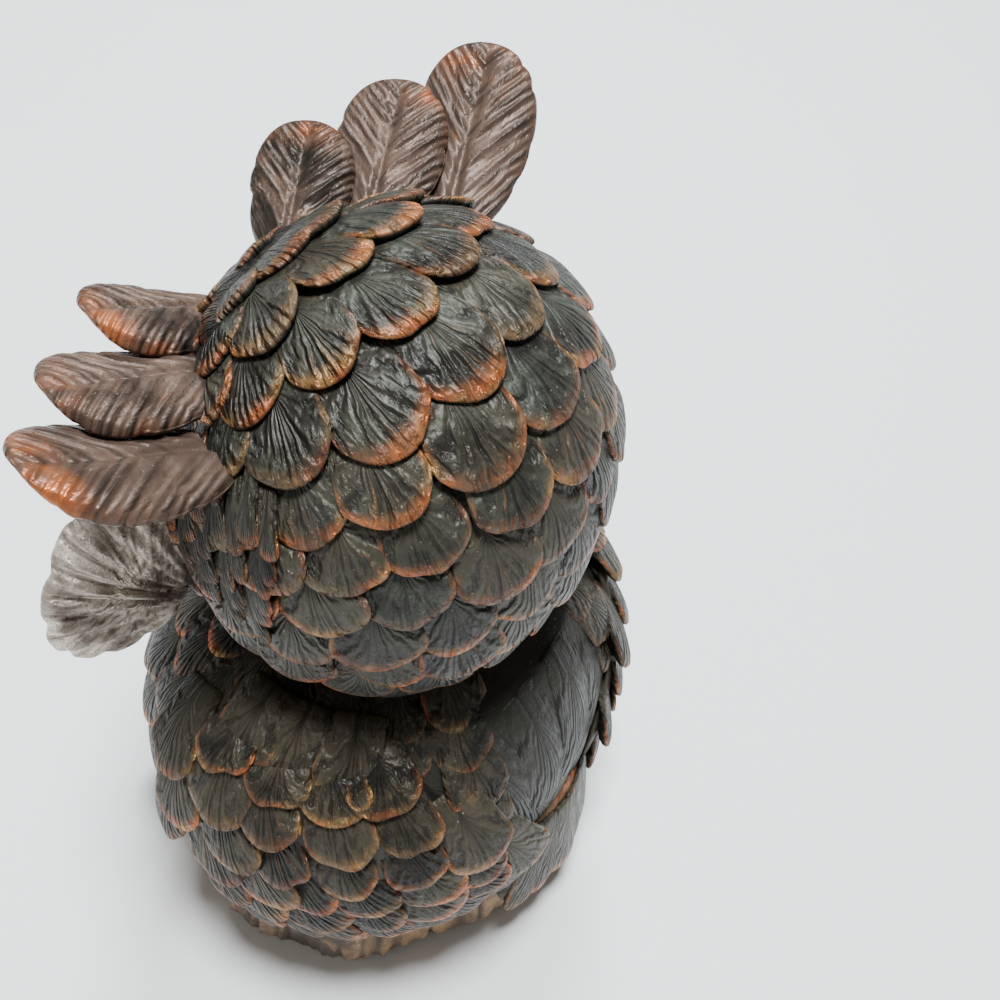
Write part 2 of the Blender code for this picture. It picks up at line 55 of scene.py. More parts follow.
# The frame's boxes give the places that the pieces share.
FELT_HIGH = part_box("felt_pad")[1]
FACE_LOW, FACE_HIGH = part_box("face_mask")
EYE_LOW, EYE_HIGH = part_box("left_eye")
BEAK_LOW, BEAK_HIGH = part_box("beak")
TAIL_LOW, TAIL_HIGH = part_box("tail")

GLUE = 0.0003

# Stump
STUMP_TOP = 0.0197
STUMP_LOBES = 7
STUMP_LOBE_DEPTH = 0.0022
STUMP_HALF_WIDTH = 0.054
STUMP_HALF_DEPTH = 0.050
STUMP_WAIST = 0.0022
STUMP_CHAMFER = 0.0015

# Body and neck
BODY_TOP = 0.103
BODY_BOTTOM = STUMP_TOP + GLUE
NECK_TOP = 0.1087
NECK_RADIUS = 0.027
BODY_ROW_TOPS = (0.1075, 0.1010)
BODY_ROW_START = 0.0930
BODY_ROW_STEP = 0.0112
BODY_ROWS = 7
COVERT_SPACING = 0.0132
COVERT_WIDTH = 0.0152
COVERT_LENGTH = 0.0195
COVERT_RIM = 0.0012
COVERT_OVER_WING = 0.0016
PANEL_HALF_TURN = math.radians(22)
PANEL_LOW = 0.040
PANEL_HIGH = 0.074
BLADE_WIDTH = 0.0150
BLADE_LENGTH = 0.044

# Head: how far the feather rows spread from the forehead, its girth, and each row's width
RIM = NECK_TOP + GLUE
FOREHEAD_LEAN = math.radians(52)
HOOD_SPREAD = math.radians(149)
HOOD_RADIUS = 0.0445
HOOD_WIDTHS = (0.0100, 0.0115, 0.0130, 0.0140, 0.0150, 0.0155, 0.0155, 0.0155, 0.0150, 0.0145,
               0.0135, 0.0130)
HOOD_RIM = 0.0013
STRAND_WIDTH = 0.0040
RUFF_WIDTH = 0.0044
BROW_WIDTH = 0.0072
BROW_STEP = 0.0055
BROW_TURN = 6.2

# Face
FACE_SEAT = 0.031
EYE_RADIUS = (EYE_HIGH.x - EYE_LOW.x) / 2
EYE_SPACING = EYE_HIGH.x + EYE_LOW.x
EYE_HEIGHT = (EYE_HIGH.z + EYE_LOW.z) / 2
CHEEK_LENGTH = 0.027
CHEEK_WIDTH = 0.042
CHEEK_THICKNESS = 0.005

# Ear feathers: root, tip and width of the left one; the right one mirrors it
EAR_FEATHERS = {
    "front": ((0.0125, -0.0340, 0.1735), (0.0320, -0.0430, 0.1850), 0.019),
    "middle": ((0.0270, -0.0245, 0.1760), (0.0505, -0.0345, 0.1875), 0.021),
    "rear": ((0.0375, -0.0135, 0.1730), (0.0665, -0.0245, 0.1915), 0.023),
}
EAR_THICKNESS = 0.0055
EAR_TENON = 0.005
EAR_TWIST = math.radians(-34)

# Wings, tail and feet
WING_TOP = 0.099
WING_TIP = 0.027
WING_GAP = 0.0013
WING_SWELL = 0.0026
WING_SEAT = 0.0028
WING_LIFT = 0.0062
WING_SINK = 0.0034
WING_FEATHER_WIDTH = 0.0120
WING_TIP_FEATHER_WIDTH = 0.0105
TAIL_OUT = 0.0545
TAIL_THICKNESS = 0.007
TAIL_FEATHER_WIDTH = 0.0125
TAIL_FAN_STEP = 0.0042
TAIL_TIP_STEP = 0.0075
TAIL_LEAN = 0.08
TAIL_BOW = 8.0
FOOT_SPACING = 0.034
TOE_RADIUS = 0.0042
TOE_SPREAD = 0.0085
TOE_FRONT = 0.0515
TOE_BACK = 0.021

# Camera: where it stands round the head, how far off, its roll, and how far the head's
# middle sits from the middle of the picture, as a share of the lens
CAMERA_AZIMUTH = math.radians(122.39)
CAMERA_ELEVATION = math.radians(51.61)
CAMERA_ROLL = math.radians(3.21)
CAMERA_DISTANCE = 0.26986
CAMERA_LENS = 50.0
CAMERA_ASIDE = (0.07564, -0.04094)
HEAD_CENTRE = Vector((0, 0, 0.150))

# Soft lamps, all aimed at one point: name, place, width, power and tint
LIT_POINT = (0, 0, 0.10)
LIGHTS = (
    ("key", (0.10, 0.05, 1.2), 0.26, 28.0, (0.93, 0.97, 1.0)),
    ("fill", (0.9, -0.5, 0.7), 0.9, 1.6, (1.0, 0.93, 0.82)),
    ("rim", (-0.60, -0.30, 0.95), 0.34, 15.0, (0.90, 0.96, 1.0)),
)
WORLD_TINT = (1.0, 0.96, 0.89, 1.0)
WORLD_STRENGTH = 0.17


class Egg:
    """An upright egg whose plan is an ellipse and whose halves above and below can differ."""

    def __init__(self, middle, half_width, half_depth, up, down, power_up, power_down):
        self.middle = middle
        self.half_width = half_width
        self.half_depth = half_depth
        self.up = (up, power_up)
        self.down = (down, power_down)
        self.centre = Vector((0, 0, middle))

    def at(self, height, turn, out=0.0):
        """Point at a height and a turn from the front towards +X, standing out by so much."""
        rise = height - self.middle
        reach, power = self.up if rise > 0 else self.down
        swell = max(0.0, 1 - abs(rise / reach) ** power) ** (1 / power)
        x = self.half_width * swell * math.sin(turn)
        y = -self.half_depth * swell * math.cos(turn)
        point = Vector((x, y, height))
        return point + self.normal(point) * out

    def along(self, direction, out=0.0):
        """Point where a direction from the middle leaves the egg, standing out by so much."""
        reach, power = self.up if direction.z > 0 else self.down
        plan = math.hypot(direction.x / self.half_width, direction.y / self.half_depth)
        size = (plan**power + abs(direction.z / reach) ** power) ** (-1 / power)
        point = self.centre + direction * size
        return point + self.normal(point) * out

    def normal(self, point):
        rise = point.z - self.middle
        reach, power = self.up if rise > 0 else self.down
        plan = math.hypot(point.x / self.half_width, point.y / self.half_depth)
        slope = plan ** (power - 2) if plan > 0 else 0.0
        upward = abs(rise) ** (power - 1) / reach**power
        across = slope * point.x / self.half_width**2
        along = slope * point.y / self.half_depth**2
        return Vector((across, along, math.copysign(upward, rise))).normalized()

    def seat(self, spot, heading, out):
        """A map for a piece that lies on the egg: across, ahead and outwards from a spot."""
        normal = self.normal(spot)
        ahead = (heading - normal * heading.dot(normal)).normalized()
        across = ahead.cross(normal)
        start = spot - self.centre

        def place(s, t, h):
            return self.along(start + across * s + ahead * t, out + h)

        return place


HEAD = Egg(0.150, 0.0425, 0.0405, 0.0475, 0.052, 2.0, 2.25)
BODY = Egg(0.062, 0.0575, 0.051, 0.054, 0.057, 2.4, 2.3)


# Mesh helpers


def mirrored(side, vector):
    return Vector((vector[0] * side, vector[1], vector[2]))


def smooth_step(low, high, value):
    share = min(1.0, max(0.0, (value - low) / (high - low)))
    return share * share * (3 - 2 * share)


def new_mesh():
    """An empty bmesh whose points know their place on their own feather and their depth."""
    bm = bmesh.new()
    bm.verts.layers.float_vector.new("vane")
    bm.verts.layers.float.new("sunk")
    return bm


def skin(columns, rings, place):
    """A closed skin: place(ring, column) gives each point and its place on the vane."""
    bm = new_mesh()
    vane = bm.verts.layers.float_vector["vane"]
    bmesh.ops.create_uvsphere(bm, u_segments=columns, v_segments=rings, radius=1.0)
    for vertex in bm.verts:
        tilt = math.acos(max(-1.0, min(1.0, vertex.co.z)))
        ring = round(tilt / math.pi * rings)
        column = round(math.atan2(vertex.co.y, vertex.co.x) / math.tau * columns) % columns
        vertex.co, vertex[vane] = place(ring, column)
    bmesh.ops.recalc_face_normals(bm, faces=bm.faces)
    return bm


def plate(columns, rings, outline, height, thickness, place, tone=0.5):
    """A rounded plate: outline(turn) is its edge, height(x, y) its relief, place its seat."""

    def point(ring, column):
        share = math.sin(math.pi * ring / rings)
        side = 1 if ring < rings / 2 else -1
        turn = math.tau * column / columns
        wide, long = outline(turn)
        half = thickness / 2 * (1 - share**3) ** (1 / 3)
        u = wide * share
        v = long * share
        edge = 1 - share**6
        across = math.sin(turn) * share
        ahead = (math.cos(turn) * share + 1) / 2
        relief = height(u, v, across, ahead, side, edge)
        return place(u, v, relief + side * half), Vector((across, ahead, tone))

    return skin(columns, rings, point)


def join(bm, *others):
    """Adds the other meshes to the first."""
    for other in others:
        mesh = bpy.data.meshes.new("joined")
        other.to_mesh(mesh)
        other.free()
        bm.from_mesh(mesh)
        bpy.data.meshes.remove(mesh)
    return bm


def add_piece(name, bm, nodes, slot, levels=0):
    """The finished object: it stands for its CAD nodes and rides on the figurine."""
    mesh = bpy.data.meshes.new(name)
    bm.to_mesh(mesh)
    bm.free()
    mesh.shade_smooth()
    piece = bpy.data.objects.new(name, mesh)
    bpy.context.scene.collection.objects.link(piece)
    mesh.materials.append(FINISHES[slot]())
    if levels:
        modifier = piece.modifiers.new("Rounding", "SUBSURF")
        modifier.levels = levels
        modifier.render_levels = levels
    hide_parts(*nodes)
    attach(piece, "root")
    return piece


# Feathers


def feather_cage(columns=6, rows=5):
    """A flat feather one unit long with a rim below its edge and a sunk sole."""
    bm = new_mesh()
    bmesh.ops.create_grid(bm, x_segments=columns, y_segments=rows, size=1.0)
    bmesh.ops.scale(bm, verts=bm.verts, vec=(1, 0.5, 1))
    bmesh.ops.translate(bm, verts=bm.verts, vec=(0, 0.5, 0))
    for _ in range(2):
        edges = [edge for edge in bm.edges if edge.is_boundary]
        made = bmesh.ops.extrude_edge_only(bm, edges=edges)["geom"]
        verts = [item for item in made if isinstance(item, bmesh.types.BMVert)]
        bmesh.ops.translate(bm, verts=verts, vec=(0, 0, -1))
    edges = [edge for edge in bm.edges if edge.is_boundary]
    bmesh.ops.contextual_create(bm, geom=edges)
    bmesh.ops.recalc_face_normals(bm, faces=bm.faces)
    mesh = bpy.data.meshes.new("feather_cage")
    bm.to_mesh(mesh)
    bm.free()
    return mesh


def lay_feather(bm, cage, seat, width, length, lift, rng, rim=0.0009, taper=0.75, crown=0.0010,
                sink=0.0012, notches=1.0, under=0.13, tone=None):
    """One feather in its seat: it starts under the surface and rises to its round tip."""
    start = len(bm.verts)
    bm.from_mesh(cage)
    bm.verts.ensure_lookup_table()
    vane = bm.verts.layers.float_vector["vane"]
    sunk = bm.verts.layers.float["sunk"]
    tone = rng.random() if tone is None else tone
    bend = rng.uniform(-0.06, 0.06) * length
    twist = rng.uniform(-0.0005, 0.0005)
    wave = rng.uniform(0, math.tau)
    cuts = [rng.uniform(-0.8, 0.8) for _ in range(2) if rng.random() < 0.45 * notches]
    for vertex in bm.verts[start:]:
        x, y, level = vertex.co
        cut = sum(math.exp(-(((x - place) / 0.16) ** 2)) for place in cuts) * y**6
        edge = min(1.0, abs(x))
        reach = length - 0.9 * width / 2 * (1 - math.sqrt(1 - 0.96 * edge**2)) - 0.0016 * cut
        s = x * width / 2 * (taper + (1 - taper) * y) + bend * y * y
        t = y * reach
        h = lift * y - sink + crown * (1 - x * x) * (0.4 + 0.6 * y) - 0.0007 * y**5
        h += twist * x * y + 0.00025 * math.sin(3.1 * x + wave + 4 * y) * y - 0.0006 * cut
        if level < -0.5:
            h -= rim
        if level < -1.5:
            s = x * width / 2 * taper * 0.85 + bend * y * y
            t = y * reach * (1 - under) + 0.04 * length
            h = min(-0.0012, h - 0.0005)
        vertex.co = seat(s, t - length / 2, h)
        vertex[vane] = Vector((x, y, tone))
        vertex[sunk] = -level


def head_direction(share, turn):
    """Direction from the head's middle: rows are circles that open from forehead to rim."""
    edge = HEAD.at(RIM, 0)
    spread = math.pi - math.atan2(-edge.y, HEAD.middle - RIM)
    lean = FOREHEAD_LEAN * (1 - share)
    centre = Vector((0, -math.sin(lean), math.cos(lean)))
    down = Vector((0, -math.cos(lean), -math.sin(lean)))
    across = down * math.cos(turn) + Vector((math.sin(turn), 0, 0))
    return centre * math.cos(share * spread) + across * math.sin(share * spread)


def head_core():
    def point(ring, column):
        tilt = math.pi * ring / 32
        turn = math.tau * column / 64
        spot = HEAD.along(
            Vector((math.sin(tilt) * math.sin(turn), -math.sin(tilt) * math.cos(turn),
                    math.cos(tilt))),
            -0.0010,
        )
        spot.z = max(spot.z, RIM)
        if spot.z < FACE_HIGH.z + 0.001:
            spot.y = max(spot.y, -FACE_SEAT + 0.0005)
        return spot, Vector((0, 0, 0.5))

    return skin(64, 32, point)


def in_face(spot):
    """Whether the mask covers this place on the head."""
    return spot.y < -0.029 and spot.z < FACE_HIGH.z + 0.003


def make_head(sizes):
    bm = new_mesh()
    cage = feather_cage()
    rows = sizes.head_rows
    rng = random.Random(11)
    for row in range(rows):
        tip = (row + 1) / rows
        share = tip - 0.5 * sizes.overlap / rows
        spread = HOOD_SPREAD * max(0.3 / rows, tip - 0.5 / rows)
        around = math.tau * HOOD_RADIUS * math.sin(spread)
        width = HOOD_WIDTHS[min(row, len(HOOD_WIDTHS) - 1)]
        count = max(4, round(around / width))
        for index in range(count):
            turn = math.tau * (index + 0.5 * (row % 2) + rng.uniform(-0.10, 0.10)) / count
            middle = share + rng.uniform(-0.08, 0.08) / rows
            spot = HEAD.along(head_direction(max(0.004, middle), turn))
            ahead = HEAD.along(head_direction(max(0.004, middle) + 0.02, turn)) - spot
            step = ahead.length / 0.02 / rows
            if in_face(HEAD.along(head_direction(tip, turn))) or in_face(spot):
                continue
            size = rng.uniform(0.94, 1.08)
            seat = HEAD.seat(spot, ahead, 0.0)
            lay_feather(bm, cage, seat, width * 1.16 * size, step * sizes.overlap * size,
                        sizes.lift * rng.uniform(0.85, 1.2), rng, rim=HOOD_RIM, notches=1.5)
    add_ruff(bm, cage, rng)
    add_brow(bm, cage, rng)
    bpy.data.meshes.remove(cage)
    return add_piece("owl_head", join(bm, head_core()), ["head_casting"], "crown_patina", 1)


def add_ruff(bm, cage, rng):
    """Narrow strands beside the face and behind the ear feathers."""
    for side in (1, -1):
        for line in range(5):
            for index in range(6):
                turn = side * math.radians(60 + 8.0 * line + rng.uniform(-3, 3))
                height = 0.1765 - 0.0042 * index - 0.0016 * line + rng.uniform(-0.001, 0.001)
                spot = HEAD.at(height, turn)
                heading = mirrored(side, (0.25 + rng.uniform(-0.15, 0.15), 0.30, -0.85))
                seat = HEAD.seat(spot, heading, 0.0028)
                lay_feather(bm, cage, seat, STRAND_WIDTH, rng.uniform(0.012, 0.016),
                            0.0024, rng, rim=0.0006, taper=0.6, crown=0.0007, notches=0)
        for line in range(3):
            for index in range(15):
                share = (index + 0.5 * (line % 2)) / 14
                turn = side * math.radians(44 + 11 * line + rng.uniform(-3, 3))
                height = 0.170 - 0.052 * share + rng.uniform(-0.001, 0.001)
                spot = HEAD.at(height, turn)
                heading = mirrored(side, (0.75, 0.10, -0.9 + 0.5 * (0.5 - share)))
                seat = HEAD.seat(spot, heading, 0.0012)
                lay_feather(bm, cage, seat, RUFF_WIDTH, rng.uniform(0.012, 0.016),
                            0.0030, rng, rim=0.0006, taper=0.6, crown=0.0006, notches=0)


def add_brow(bm, cage, rng):
    """Short feathers that close the forehead down to the mask."""
    for line in range(3):
        for index in range(13 - line % 2):
            turn = math.radians(BROW_TURN * (index - 6 + 0.5 * (line % 2)) + rng.uniform(-1, 1))
            spot = HEAD.at(FACE_HIGH.z + BROW_STEP + BROW_STEP * line, turn)
            heading = Vector((0.15 * math.sin(turn), -0.4, -0.9))
            seat = HEAD.seat(spot, heading, 0.0004)
            lay_feather(bm, cage, seat, BROW_WIDTH, rng.uniform(0.0125, 0.0145),
                        0.0034, rng, rim=0.0009, taper=0.7, crown=0.0008)


# Body


def under_wing(height, turn, margin=math.radians(7)):
    """Whether a wing covers this place on the body."""
    drop = (WING_TOP - height) / (WING_TOP - WING_TIP)
    if not 0.08 < drop < 0.95:
        return False
    front, back = wing_span(drop)
    half = wing_width(drop) * (back - front) / 2 - margin
    turn = min(turn % math.tau, math.tau - turn % math.tau)
    return abs(turn - (front + back) / 2) < half


def panel_half(height):
    """Half the turn that the smooth back takes up at a height: a V that closes downwards."""
    return PANEL_HALF_TURN * smooth_step(PANEL_LOW, PANEL_HIGH, height)


def body_core():
    neck = [(0, NECK_TOP), (NECK_RADIUS, NECK_TOP), (NECK_RADIUS + 0.0005, NECK_TOP - 0.0025)]
    rings = 44
    last = len(neck) + rings + 1

    def point(ring, column):
        turn = math.tau * column / 96
        tone = 0.5
        if ring < len(neck):
            radius, height = neck[ring]
            spot = Vector((radius * math.sin(turn), -radius * math.cos(turn), height))
            tone = -1.0
        elif ring == last:
            spot = Vector((0, 0, BODY_BOTTOM))
        else:
            height = BODY_TOP - 0.001
            height += (BODY_BOTTOM - BODY_TOP + 0.001) * (ring - len(neck)) / rings
            spot = BODY.at(height, turn, -0.0002)
            if abs(turn - math.pi) < panel_half(height) + 0.1:
                tone = -1.0
        return spot, Vector((0, 0, tone))

    return skin(96, last, point)


def make_body(sizes):
    bm = new_mesh()
    cage = feather_cage()
    rng = random.Random(23)
    heights = [*BODY_ROW_TOPS] + [BODY_ROW_START - BODY_ROW_STEP * row for row in range(BODY_ROWS)]
    for row, middle in enumerate(heights):
        sunk = (-0.0022, -0.0010)[row] if row < 2 else 0.0
        tip = middle - (0.004 if row == 0 else 0.0095)
        around = math.tau * math.hypot(*BODY.at(tip, 0.8).to_2d()) * 0.98
        count = round(around / COVERT_SPACING)
        for index in range(count):
            turn = math.tau * (index + 0.5 * (row % 2) + rng.uniform(-0.08, 0.08)) / count
            behind = abs((turn % math.tau) - math.pi)
            on_wing = under_wing(tip, turn)
            if (on_wing and row != 1) or behind < panel_half(tip + 0.003) + 0.07:
                continue
            if tip < 0.050 and behind < math.radians(28):
                continue
            spot = BODY.at(middle, turn)
            heading = BODY.at(middle - 0.004, turn) - spot
            seat = BODY.seat(spot, heading, COVERT_OVER_WING if on_wing else sunk)
            size = rng.uniform(0.94, 1.08)
            lift = sizes.lift * (0.7 if row < 2 else 0.9)
            lay_feather(bm, cage, seat, COVERT_WIDTH * size, COVERT_LENGTH * size, lift, rng,
                        rim=COVERT_RIM, notches=1.3)
    add_back_blades(bm, cage, rng)
    bpy.data.meshes.remove(cage)
    return add_piece("owl_body", join(bm, body_core()), ["body_casting"], "patina", 1)


def add_back_blades(bm, cage, rng):
    """Long smooth blades between the wings, closing towards the tail."""
    for layer in range(2):
        count = 6 - layer
        for index in range(count):
            aside = (index - (count - 1) / 2) / ((count - 1) / 2)
            turn = math.pi - math.radians(34 - 10 * layer) * aside
            spot = BODY.at(0.084 - 0.018 * layer, turn)
            aim = BODY.at(0.036, math.pi - math.radians(5) * aside)
            seat = BODY.seat(spot, aim - spot, 0.0)
            lay_feather(bm, cage, seat, BLADE_WIDTH, BLADE_LENGTH - 0.004 * layer, 0.0013, rng,
                        rim=0.0004, taper=1.0, crown=0.0009, sink=0.0003, notches=0, under=0.04,
                        tone=-1.0)


# Wings


def wing_span(drop):
    """Turns of the wing's front and back edges, with drop from 0 at the top to 1 at the tip."""
    front = math.radians(62 + 52 * drop**2)
    back = math.radians(142 + 29 * min(1.0, 1.4 * drop))
    return front, back


def wing_width(drop):
    """Share of its widest that the wing has at a drop."""
    return (1 - min(1.0, abs(1 - 2 * drop)) ** 2.4) ** (1 / 2.4)


def wing_place(side, u, drop, out=0.0, wide=None):
    """Point on the wing: u runs from its front edge to its back edge."""
    wide = wing_width(drop) if wide is None else wide
    front, back = wing_span(drop)
    turn = (front + back) / 2 + u * wide * (back - front) / 2
    height = WING_TOP - drop * (WING_TOP - WING_TIP)
    return mirrored(side, BODY.at(height, turn, out))


def wing_core(side):
    outer = 24
    inner = 12

    def point(ring, column):
        drop = ring / 24
        if column <= outer:
            u = 2 * column / outer - 1
            out = WING_GAP + WING_SWELL * (1 - u**4) ** 0.25
        else:
            u = 1 - 2 * (column - outer) / inner
            out = WING_GAP
        return wing_place(side, u, drop, out), Vector((0, 0, 0.5))

    return skin(outer + inner, 24, point)


def make_wing(sizes, side, name):
    bm = new_mesh()
    cage = feather_cage()
    rng = random.Random(37 + side)
    rows = sizes.wing_rows
    for row in range(rows):
        tip = (row + 0.8) / (rows - 0.1)
        last_rows = row >= rows - 2
        length_share = 2.3 if last_rows else 2.15
        middle = max(0.02, tip - 0.5 * length_share / rows)
        wide = wing_width(max(0.12, min(0.88, tip - 0.3 / rows)))
        left = wing_place(side, -1, max(0.0, middle), wide=wide)
        right = wing_place(side, 1, max(0.0, middle), wide=wide)
        width = WING_TIP_FEATHER_WIDTH if last_rows else WING_FEATHER_WIDTH
        count = max(3, round((right - left).length * 1.12 / width))
        for index in range(count):
            u = -1 + 2 * (index + 0.5 + 0.25 * (-1) ** row + rng.uniform(-0.14, 0.14)) / count
            u = max(-0.96, min(0.96, u))
            size = rng.uniform(0.86, 1.12)
            start = middle + rng.uniform(-0.10, 0.10) / rows
            spot = wing_place(side, u, start, wide=wide)
            heading = wing_place(side, u, start + 0.04, wide=wide * 0.99) - spot
            length = 2 * (tip - middle) * (WING_TOP - WING_TIP) * size
            seat = BODY.seat(spot, heading, WING_GAP + (0.0020 if row == 0 else WING_SEAT))
            lay_feather(bm, cage, seat, width * 1.22 * size, length, WING_LIFT, rng,
                        rim=0.0015, sink=WING_SINK, notches=1.5, crown=0.0014)
    bpy.data.meshes.remove(cage)
    return add_piece(f"owl_{name}", join(bm, wing_core(side)), [name], "wing_patina", 1)


# Ear feathers and cheek fans


def ear_mesh(which, side):
    root, tip, width = EAR_FEATHERS[which]
    root = mirrored(side, root)
    along = mirrored(side, tip) - root
    reach = along.length
    along.normalize()
    normal = mirrored(side, (-0.20, 0.57, 0.80))
    normal = (normal - along * normal.dot(along)).normalized()
    normal = Matrix.Rotation(-side * EAR_TWIST, 3, along) @ normal
    across = along.cross(normal) * side
    length = reach + EAR_TENON
    rng = random.Random(which)
    cuts = [(rng.uniform(0.5, 2.6), rng.uniform(0.02, 0.05)) for _ in range(4)]
    cuts += [(-rng.uniform(0.5, 2.6), rng.uniform(0.02, 0.05)) for _ in range(4)]

    def outline(turn):
        angle = math.atan2(math.sin(turn), math.cos(turn))
        bite = sum(depth * math.exp(-(((angle - place) / 0.07) ** 2)) for place, depth in cuts)
        sine = math.copysign(abs(math.sin(turn)) ** 0.85, math.sin(turn))
        wide = width * 0.53 * sine * (1 + 0.16 * math.cos(turn)) * (1 - bite)
        return wide, length / 2 * math.cos(turn) * (1 - bite)

    def height(u, v, x, y, side_up, edge):
        barb = math.sin(math.tau * (7 * y - 3.0 * abs(x) + 0.15 * math.sin(9 * x)))
        relief = 0.00025 * barb * min(1.0, 4 * abs(x)) * edge
        relief -= 0.0010 * math.exp(-((x / 0.08) ** 2)) * edge
        relief += 0.0004 * math.sin(4 * x + 5 * y)
        return -9.0 * u * u + 4.0 * v * v + relief * side_up

    def place(u, v, w):
        return root + along * (v + length / 2 - EAR_TENON) + across * u + normal * w

    return plate(96, 48, outline, height, EAR_THICKNESS, place, rng.random())


def cheek_mesh(side):
    root = mirrored(side, (0.0365, -0.0245, 0.1420))
    out = mirrored(side, (0.62, -0.70, 0.35)).normalized()
    down = mirrored(side, (0.45, -0.05, -0.89))
    down = (down - out * down.dot(out)).normalized()
    normal = out.cross(down) * side

    def outline(turn):
        lobe = 1 - 0.07 * (0.5 + 0.5 * math.cos(11 * turn)) ** 3
        across = CHEEK_WIDTH / 2 * math.sin(turn) * (1 + 0.25 * math.cos(turn))
        return across * lobe, CHEEK_LENGTH / 2 * math.cos(turn) * lobe

    def height(u, v, x, y, side_up, edge):
        fan = math.atan2(u, v + CHEEK_LENGTH * 0.62)
        relief = 0.0007 * math.sin(30 * fan + 40 * v) + 0.0003 * math.sin(67 * fan + 90 * v)
        return -6.0 * u * u - 3.0 * v * v + relief * side_up * edge

    def place(u, v, w):
        shift = root + out * (v + CHEEK_LENGTH * 0.28)
        return shift + down * (u + CHEEK_WIDTH * 0.33) + normal * w

    return plate(132, 40, outline, height, CHEEK_THICKNESS, place)


# Face


def face_point(x, z):
    """The mask's front: two dishes round the eyes, a ridge between, brows and fine rays."""
    aside = abs(x) - EYE_SPACING / 2
    rise = z - EYE_HEIGHT
    reach = math.hypot(aside, rise)
    angle = math.atan2(rise, aside)
    out = 0.0075 - 0.0030 * math.exp(-((reach / 0.011) ** 2))
    out += 0.0020 * math.exp(-((x / 0.005) ** 2)) - 0.0025 * (x / 0.038) ** 2
    ray = math.sin(30 * angle + 90 * reach * math.sin(3 * angle))
    out += 0.00055 * ray * smooth_step(EYE_RADIUS, EYE_RADIUS + 0.003, reach)
    out += 0.0008 * math.exp(-(((reach - EYE_RADIUS - 0.0016) / 0.0011) ** 2))
    brow = rise - 0.0075 - 0.35 * aside
    return out + 0.0014 * math.exp(-((brow / 0.0024) ** 2)) * (aside > -0.016)


def make_face():
    rings = 84
    columns = 144
    middle = (FACE_HIGH.z + FACE_LOW.z) / 2
    half_height = (FACE_HIGH.z - FACE_LOW.z) / 2
    half_width = FACE_HIGH.x
    seat = FACE_SEAT + GLUE

    def point(ring, column):
        turn = math.tau * column / columns
        share = math.sin(math.pi * ring / rings)
        cosine = math.cos(turn)
        notch = 1 - 0.10 * cosine**8 * (1 if cosine > 0 else 0.4)
        notch *= 1 - 0.018 * (0.5 + 0.5 * math.cos(34 * turn)) ** 2
        x = half_width * math.copysign(abs(math.sin(turn)) ** 0.85, math.sin(turn)) * notch * share
        z = half_height * math.copysign(abs(cosine) ** 0.85, cosine) * notch * share
        rim = (1 - share**6) ** (1 / 6)
        height = middle + z
        if ring < rings / 2:
            out = 0.002 + (face_point(x, height) - 0.002) * rim
        elif ring > rings / 2:
            out = 0.0
        else:
            out = 0.002
        return Vector((x, -seat - out, height)), Vector((x / half_width, share, 0.5))

    bm = skin(columns, rings, point)
    return add_piece("owl_face", bm, ["face_mask"], "face_bronze")


def make_eye(side, name):
    """A glass dome in its socket."""
    rings = 24
    front = EYE_LOW.y
    dome = 0.0035

    def point(ring, column):
        turn = math.tau * column / 48
        share = ring / 16
        if share <= 1:
            radius = EYE_RADIUS * math.sin(share * math.pi / 2)
            depth = front + dome * (1 - math.cos(share * math.pi / 2))
        else:
            radius = EYE_RADIUS * min(1.0, (rings - ring) / 3)
            depth = min(EYE_HIGH.y, front + dome + 0.001 * (ring - 16))
        x = side * EYE_SPACING / 2 + radius * math.sin(turn)
        return Vector((x, depth, EYE_HEIGHT + radius * math.cos(turn))), Vector((0, 0, 0))

    bm = skin(48, rings, point)
    return add_piece(f"owl_{name}", bm, [name], "amber_glass")


def make_beak():
    """A hooked beak with a raised cere over its root."""
    rings = 36
    columns = 40
    flat = BEAK_HIGH.y
    half = (BEAK_HIGH.x - BEAK_LOW.x) / 2
    length = BEAK_HIGH.z - BEAK_LOW.z
    depth = BEAK_HIGH.y - BEAK_LOW.y

    def point(ring, column):
        share = ring / rings
        turn = math.tau * column / columns
        wide = half * math.sqrt(max(0.0, 1 - share**1.6)) * min(1.0, 3 * share + 0.4)
        height = BEAK_HIGH.z - length * share
        deep = depth * math.sin(math.pi * min(0.92, 0.12 + 0.75 * share)) ** 0.8
        cere = 0.0005 * smooth_step(0.42, 0.34, share)
        if ring in (0, rings):
            spot = Vector((0, flat - deep * 0.3 - (0.002 if ring else 0), height))
            return spot, Vector((0, share, 0.5))
        out = max(0.0, -math.cos(turn)) if abs(math.cos(turn)) > 1e-6 else 0.0
        keel = 0.0004 * math.exp(-(((turn - math.pi) / 0.25) ** 2))
        side = math.sin(turn) * (wide + cere * out)
        spot = Vector((side, flat - (deep + cere + keel) * out**0.7, height))
        return spot, Vector((0, share, 0.5))

    bm = skin(columns, rings, point)
    return add_piece("owl_beak", bm, ["beak"], "beak_horn")


# Tail, feet and stump


